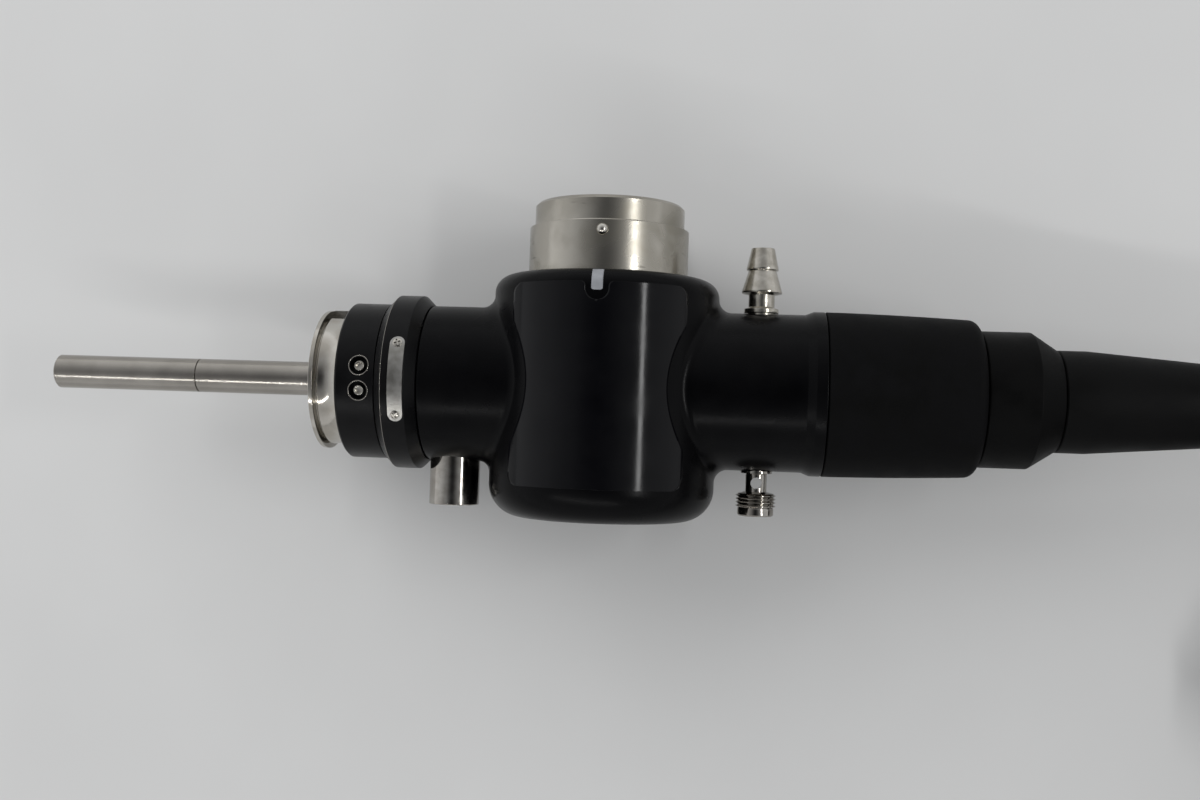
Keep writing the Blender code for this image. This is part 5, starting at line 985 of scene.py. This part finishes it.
swell = [(GRIP_START, 0.0), (GRIP_START, 12.5 * MM), (GRIP_START + 1.0 * MM, 13.5 * MM)]
for k in range(1, 25):
    share = k / 24.0
    swell.append((GRIP_START + 1.0 * MM + (GRIP_END - 2.5 * MM - GRIP_START) * share,
                  (13.5 - 1.1 * share + 1.75 * math.sin(math.pi * share ** 0.62)) * MM))
swell += arc((GRIP_END - 1.5 * MM, 10.9 * MM), 1.5 * MM, 90.0, 0.0, 6)[1:] + [(GRIP_END, 0.0)]
grip_moulding = lathe("grip_moulding", swell, nut_plastic, CONTROL @ ALONG_X, 128)
carve(grip_moulding, lathe("channel_boss", soften([
    (4.0 * MM, 0.0), (4.0 * MM, 8.0 * MM), (26.0 * MM, 8.0 * MM), (26.0 * MM, 0.0)], 0.8 * MM),
    nut_plastic, CHANNEL_WAY, 96), operation="UNION")
seat(grip_moulding, "black_moulding", "grip")

for name, node, way, start, length, radius, end_radius in (
        ("tube_boot_moulding", "insertion_boot", CONTROL @ ALONG_X, GRIP_END + 0.3 * MM, 44.7 * MM,
         10.5 * MM, 6.2 * MM),
        ("cord_boot_moulding", "universal_cord_boot", PORT_WAY, 29.3 * MM, 45.0 * MM,
         10.5 * MM, 7.4 * MM)):
    taper = [(start, 0.0), (start, radius - 0.4 * MM), (start + 0.4 * MM, radius),
             (start + 7.5 * MM, radius)]
    for k in range(1, 17):
        share = k / 16.0
        taper.append((start + 7.5 * MM + (length - 7.5 * MM - BOOT_ROUND) * share,
                      radius + (end_radius - radius) * share))
    taper += arc((start + length - BOOT_ROUND, end_radius - BOOT_ROUND), BOOT_ROUND,
                 90.0, 0.0, 6)[1:]
    taper.append((start + length, 0.0))
    seat(lathe(name, taper, boot_rubber, way, 96), "black_rubber", node)

# The angulation knobs and their brakes: satin black mouldings stacked on a steel spindle.
# Their soft lobes fit the thumb, and each turns on its own.
KNOB_BORE, KNOB_LOBE_DEPTH, KNOB_EDGE = 3.8 * MM, 3.0 * MM, 1.4 * MM

# Satin moulding: a soft sheen on the lobes, duller where the thumb has worn it.
knob_plastic = worn_finish("satin black knob moulding", ("#0D0D0E", "#131314"), 6.0, (0.34, 0.48),
                           ior=1.32, grain=(0.3, 0.2, 2.0))


def lobed(radius, lobes, inset=0.0):
    """A wheel's radius at each angle, with this many soft lobes."""
    return lambda turn: radius - inset - KNOB_LOBE_DEPTH * (0.5 - 0.5 * math.cos(lobes * turn))


for name, node, face, thick, radius, lobes in (
        ("large_wheel", "up_down_knob", 24.4 * MM, 9.0 * MM, 24.0 * MM, 6),
        ("small_wheel", "left_right_knob", 33.8 * MM, 8.0 * MM, 18.5 * MM, 5),
        ("brake_button", "left_right_brake_knob", 42.2 * MM, 6.5 * MM, 10.0 * MM, 0)):
    rim = [(face, KNOB_BORE)] + [(face + KNOB_EDGE * (1.0 - math.cos(math.radians(a))),
                                  lobed(radius, lobes, KNOB_EDGE * (1.0 - math.sin(math.radians(a)))))
                                 for a in range(0, 91, 15)]
    rim += [(face + thick - KNOB_EDGE * (1.0 - math.sin(math.radians(a))),
             lobed(radius, lobes, KNOB_EDGE * (1.0 - math.cos(math.radians(a)))))
            for a in range(0, 91, 15)]
    seat(lathe(name, rim + [(face + thick, KNOB_BORE)], knob_plastic, KNOB_WAY, 180, closed=True),
         "black_moulding", node, body=node)

# The brake lever under the large wheel, cast and painted black, and the spindle they turn on.
LEVER_FACE, LEVER_THICKNESS, LEVER_HUB = 20.4 * MM, 3.6 * MM, 12.5 * MM
LEVER_REACH, LEVER_TIP, LEVER_ANGLE = 31.0 * MM, 4.0 * MM, math.radians(160.0)

outline = []
for i in range(49):
    turn = LEVER_ANGLE + math.radians(25.0 + 310.0 * i / 48.0)
    outline.append((LEVER_HUB * math.cos(turn), LEVER_HUB * math.sin(turn)))
for i in range(17):
    turn = LEVER_ANGLE + math.radians(-90.0 + 180.0 * i / 16.0)
    outline.append(((LEVER_REACH - LEVER_TIP) * math.cos(LEVER_ANGLE) + LEVER_TIP * math.cos(turn),
                    (LEVER_REACH - LEVER_TIP) * math.sin(LEVER_ANGLE) + LEVER_TIP * math.sin(turn)))
shape, rims = prism(outline, LEVER_FACE, LEVER_FACE + LEVER_THICKNESS)
bmesh.ops.bevel(shape, geom=rims, offset=0.7 * MM, segments=3, affect="EDGES")
bmesh.ops.recalc_face_normals(shape, faces=shape.faces)
seat(made_from("brake_lever_casting", shape, knob_plastic, KNOB_WAY), "black_moulding",
     "up_down_brake_lever", body="up_down_brake_lever")
seat(lathe("spindle_turned", [(6.0 * MM, 0.0), (6.0 * MM, 3.5 * MM), (46.7 * MM, 3.5 * MM),
                              (46.7 * MM, 0.0)], port_steel, KNOB_WAY, 48),
     "stainless_steel", "knob_spindle")

# The suction and the air and water valves: steel collars screwed in the case, and sprung
# pistons with caps of hard plastic, red for suction and blue for air and water.
# Acetal: a hard, waxy plastic with a strong colour and a low gloss.
valve_colours = {}
for name, colour, dark in (("red acetal valve cap", "#9E1B1E", "#8C1619"),
                           ("blue acetal valve cap", "#1D3F8A", "#183677")):
    valve_colours[name.split()[0]] = worn_finish(name, (dark, colour), 2.5, (0.28, 0.42), ior=1.48,
                                                 grain=(0.4, 0.12, 2.0))
for (name, x), colour in zip(VALVES, ("red", "blue")):
    way = CONTROL @ Matrix.Translation((x, 0.0, 0.0))
    seat(lathe(name + "_collar_turned", soften([(z * MM, r * MM) for z, r in (
        (17.3, 4.5), (17.3, 8.0), (21.0, 8.0), (21.0, 4.5))], 0.5 * MM),
        port_steel, way, 96, closed=True), "stainless_steel", name + "_collar")
    cap = [(z * MM, r * MM) for z, r in (
        (8.0, 0.0), (8.0, 4.2), (24.3, 4.2), (24.3, 6.6), (28.0, 6.6), (28.9, 5.6), (28.9, 4.6),
        (28.5, 3.8), (28.4, 0.0))]
    piston = lathe(name + "_piston", soften(cap, 0.5 * MM), valve_colours[colour], way, 96)
    piston.data.materials.append(port_steel)
    for face in piston.data.polygons:
        middle = way.inverted() @ face.center
        face.material_index = 1 if middle.z < 24.2 * MM else 0
    seat(piston, colour + "_button", name + "_valve", body=name + "_valve")

# Four remote switches: moulded grey silicone buttons with a shallow dish for the finger. They
# sit in the case's pockets, two on its end and two on its front.
# Silicone rubber: mid grey and matt, a little darker where it is pressed.
button_rubber = worn_finish("grey silicone button", ("#64676B", "#74777B"), 2.0, (0.50, 0.62),
                            ior=1.43, grain=(0.3, 0.2, 2.0))
for number, way, face in SWITCHES:
    seat(lathe("switch_button_%d" % number, soften([(face + z * MM, r * MM) for z, r in (
        (-2.2, 0.0), (-2.2, 3.6), (1.1, 3.6), (1.6, 3.1), (1.6, 2.7), (1.25, 1.4), (1.15, 0.0))],
        0.3 * MM), button_rubber, way, 64), "grey_moulding", "remote_switch_%d" % number,
        body="remote_switch_%d" % number)

# The instrument channel's port: a turned steel neck with a moulded black rubber valve cap
# pushed over it. The cap's lid swings on a small bead that a web on its side carries.
LID_Z, LID_TOP_Z, LID_RADIUS = 41.9 * MM, 44.5 * MM, 6.6 * MM
HINGE_X, HINGE_HALF, HINGE_RADIUS = 9.1 * MM, 1.5 * MM, 0.6 * MM
WEB_SIZE, WEB_X, WEB_Z = (3.6 * MM, 3.0 * MM, 5.1 * MM), 7.5 * MM, 39.15 * MM

neck = [(z * MM, r * MM) for z, r in (
    (26.3, 1.9), (26.3, 6.2), (27.7, 6.2), (28.1, 5.0), (32.3, 5.0), (32.3, 1.9))]
seat(lathe("channel_neck", soften(neck, 0.3 * MM), port_steel, CHANNEL_WAY, 96, closed=True),
     "stainless_steel", "channel_port")
seal = [(z * MM, r * MM) for z, r in (
    (32.6, 1.9), (32.6, 7.6), (36.2, 7.6), (37.1, 6.4), (41.6, 6.4), (41.6, 1.9))]
web = rounded_block("lid_web", WEB_SIZE, (0.0, 0.0, 0.0), boot_rubber, 0.4 * MM,
                    CHANNEL_WAY @ Matrix.Translation((WEB_X, 0.0, WEB_Z)))
bead = lathe("lid_hinge", [(-HINGE_HALF, 0.0), (-HINGE_HALF, HINGE_RADIUS),
                           (HINGE_HALF, HINGE_RADIUS), (HINGE_HALF, 0.0)], boot_rubber,
             CHANNEL_WAY @ Matrix.Translation((HINGE_X, 0.0, LID_Z)) @ ALONG_Y, 24)
seal_moulding = lathe("channel_seal", soften(seal, 0.5 * MM), boot_rubber, CHANNEL_WAY, 96,
                      closed=True)
seat(carve(seal_moulding, web, bead, operation="UNION"), "black_rubber", "channel_cap")
outline = [(LID_RADIUS * math.cos(turn), LID_RADIUS * math.sin(turn))
           for turn in (math.radians(18.0 + 324.0 * i / 48.0) for i in range(49))]
outline += [(HINGE_X, -HINGE_HALF), (HINGE_X, HINGE_HALF)]
shape, rims = prism(outline, LID_Z, LID_TOP_Z)
bmesh.ops.bevel(shape, geom=rims, offset=0.6 * MM, segments=3, affect="EDGES")
bmesh.ops.recalc_face_normals(shape, faces=shape.faces)
seat(made_from("channel_lid_moulding", shape, boot_rubber, CHANNEL_WAY),
     "black_rubber", "channel_lid", body="channel_lid")

# The bending section: riveted steel rings under a thin glued sleeve of black fluorine rubber. The
# sleeve is drawn ring by ring, one straight length over each joint.
JOINT_X, JOINT_PITCH, JOINTS = 598.7 * MM, 9.0 * MM, 8
COVER_RADIUS, COVER_WALL, BEND_HALF = 4.82 * MM, 0.32 * MM, 3.6 * MM
COVER_LEAD, COVER_TRAIL = 6.8 * MM, 3.0 * MM

# Fluorine rubber: a thin black skin with a low gloss and a fine even grain.
cover_rubber = worn_finish("thin fluorine rubber cover", ("#090909", "#0F0F10"), 4.0, (0.32, 0.46),
                           ior=1.32, grain=(0.4, 0.2, 2.0))
for i in range(JOINTS):
    joint_x = JOINT_X + i * JOINT_PITCH
    start = joint_x - (JOINT_PITCH / 2.0 if i else COVER_LEAD)
    end = joint_x + (JOINT_PITCH / 2.0 if i < JOINTS - 1 else COVER_TRAIL)
    wall = [(start, COVER_RADIUS - COVER_WALL)]
    wall += [(start + (end - start) * k / 18.0, COVER_RADIUS) for k in range(19)]
    wall += [(end + (start - end) * k / 18.0, COVER_RADIUS - COVER_WALL) for k in range(18)]
    cover = lathe("bending_cover_%d" % (i + 1), wall, cover_rubber,
                  Matrix.Translation((0.0, tube_y, TUBE_LOW_Z)) @ ALONG_X, 48, closed=True)
    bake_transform(cover)

# What stays as built in CAD: the stamped steel rings inside the cover, and the moulded distal
# end in front of them. They get their finishes and their broken edges here.
# The rings are plain stamped steel, dulled by the press, and the tip is a glossy black.
riveted_steel = worn_finish("stamped stainless steel ring", ("#9B978F", "#B4B1AA"), 1.5, (0.22, 0.34),
                            metallic=1.0)
tip_plastic = worn_finish("polished black tip moulding", ("#080809", "#0D0D0E"), 2.5, (0.20, 0.34),
                          ior=1.4, grain=(0.4, 0.1, 2.0))
for node, finish in ([("bending_base", riveted_steel), ("distal_end", tip_plastic)]
                     + [("vertebra_%d" % i, riveted_steel) for i in range(1, JOINTS)]):
    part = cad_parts[node]
    part.data.materials.clear()
    part.data.materials.append(finish)
    shade(part)
    before_shading(part, "broken_edges", "BEVEL", width=0.08 * MM, segments=2, limit_method="ANGLE",
                   angle_limit=math.radians(35.0))
    before_shading(part, "weld", "WELD", merge_threshold=0.005 * MM)
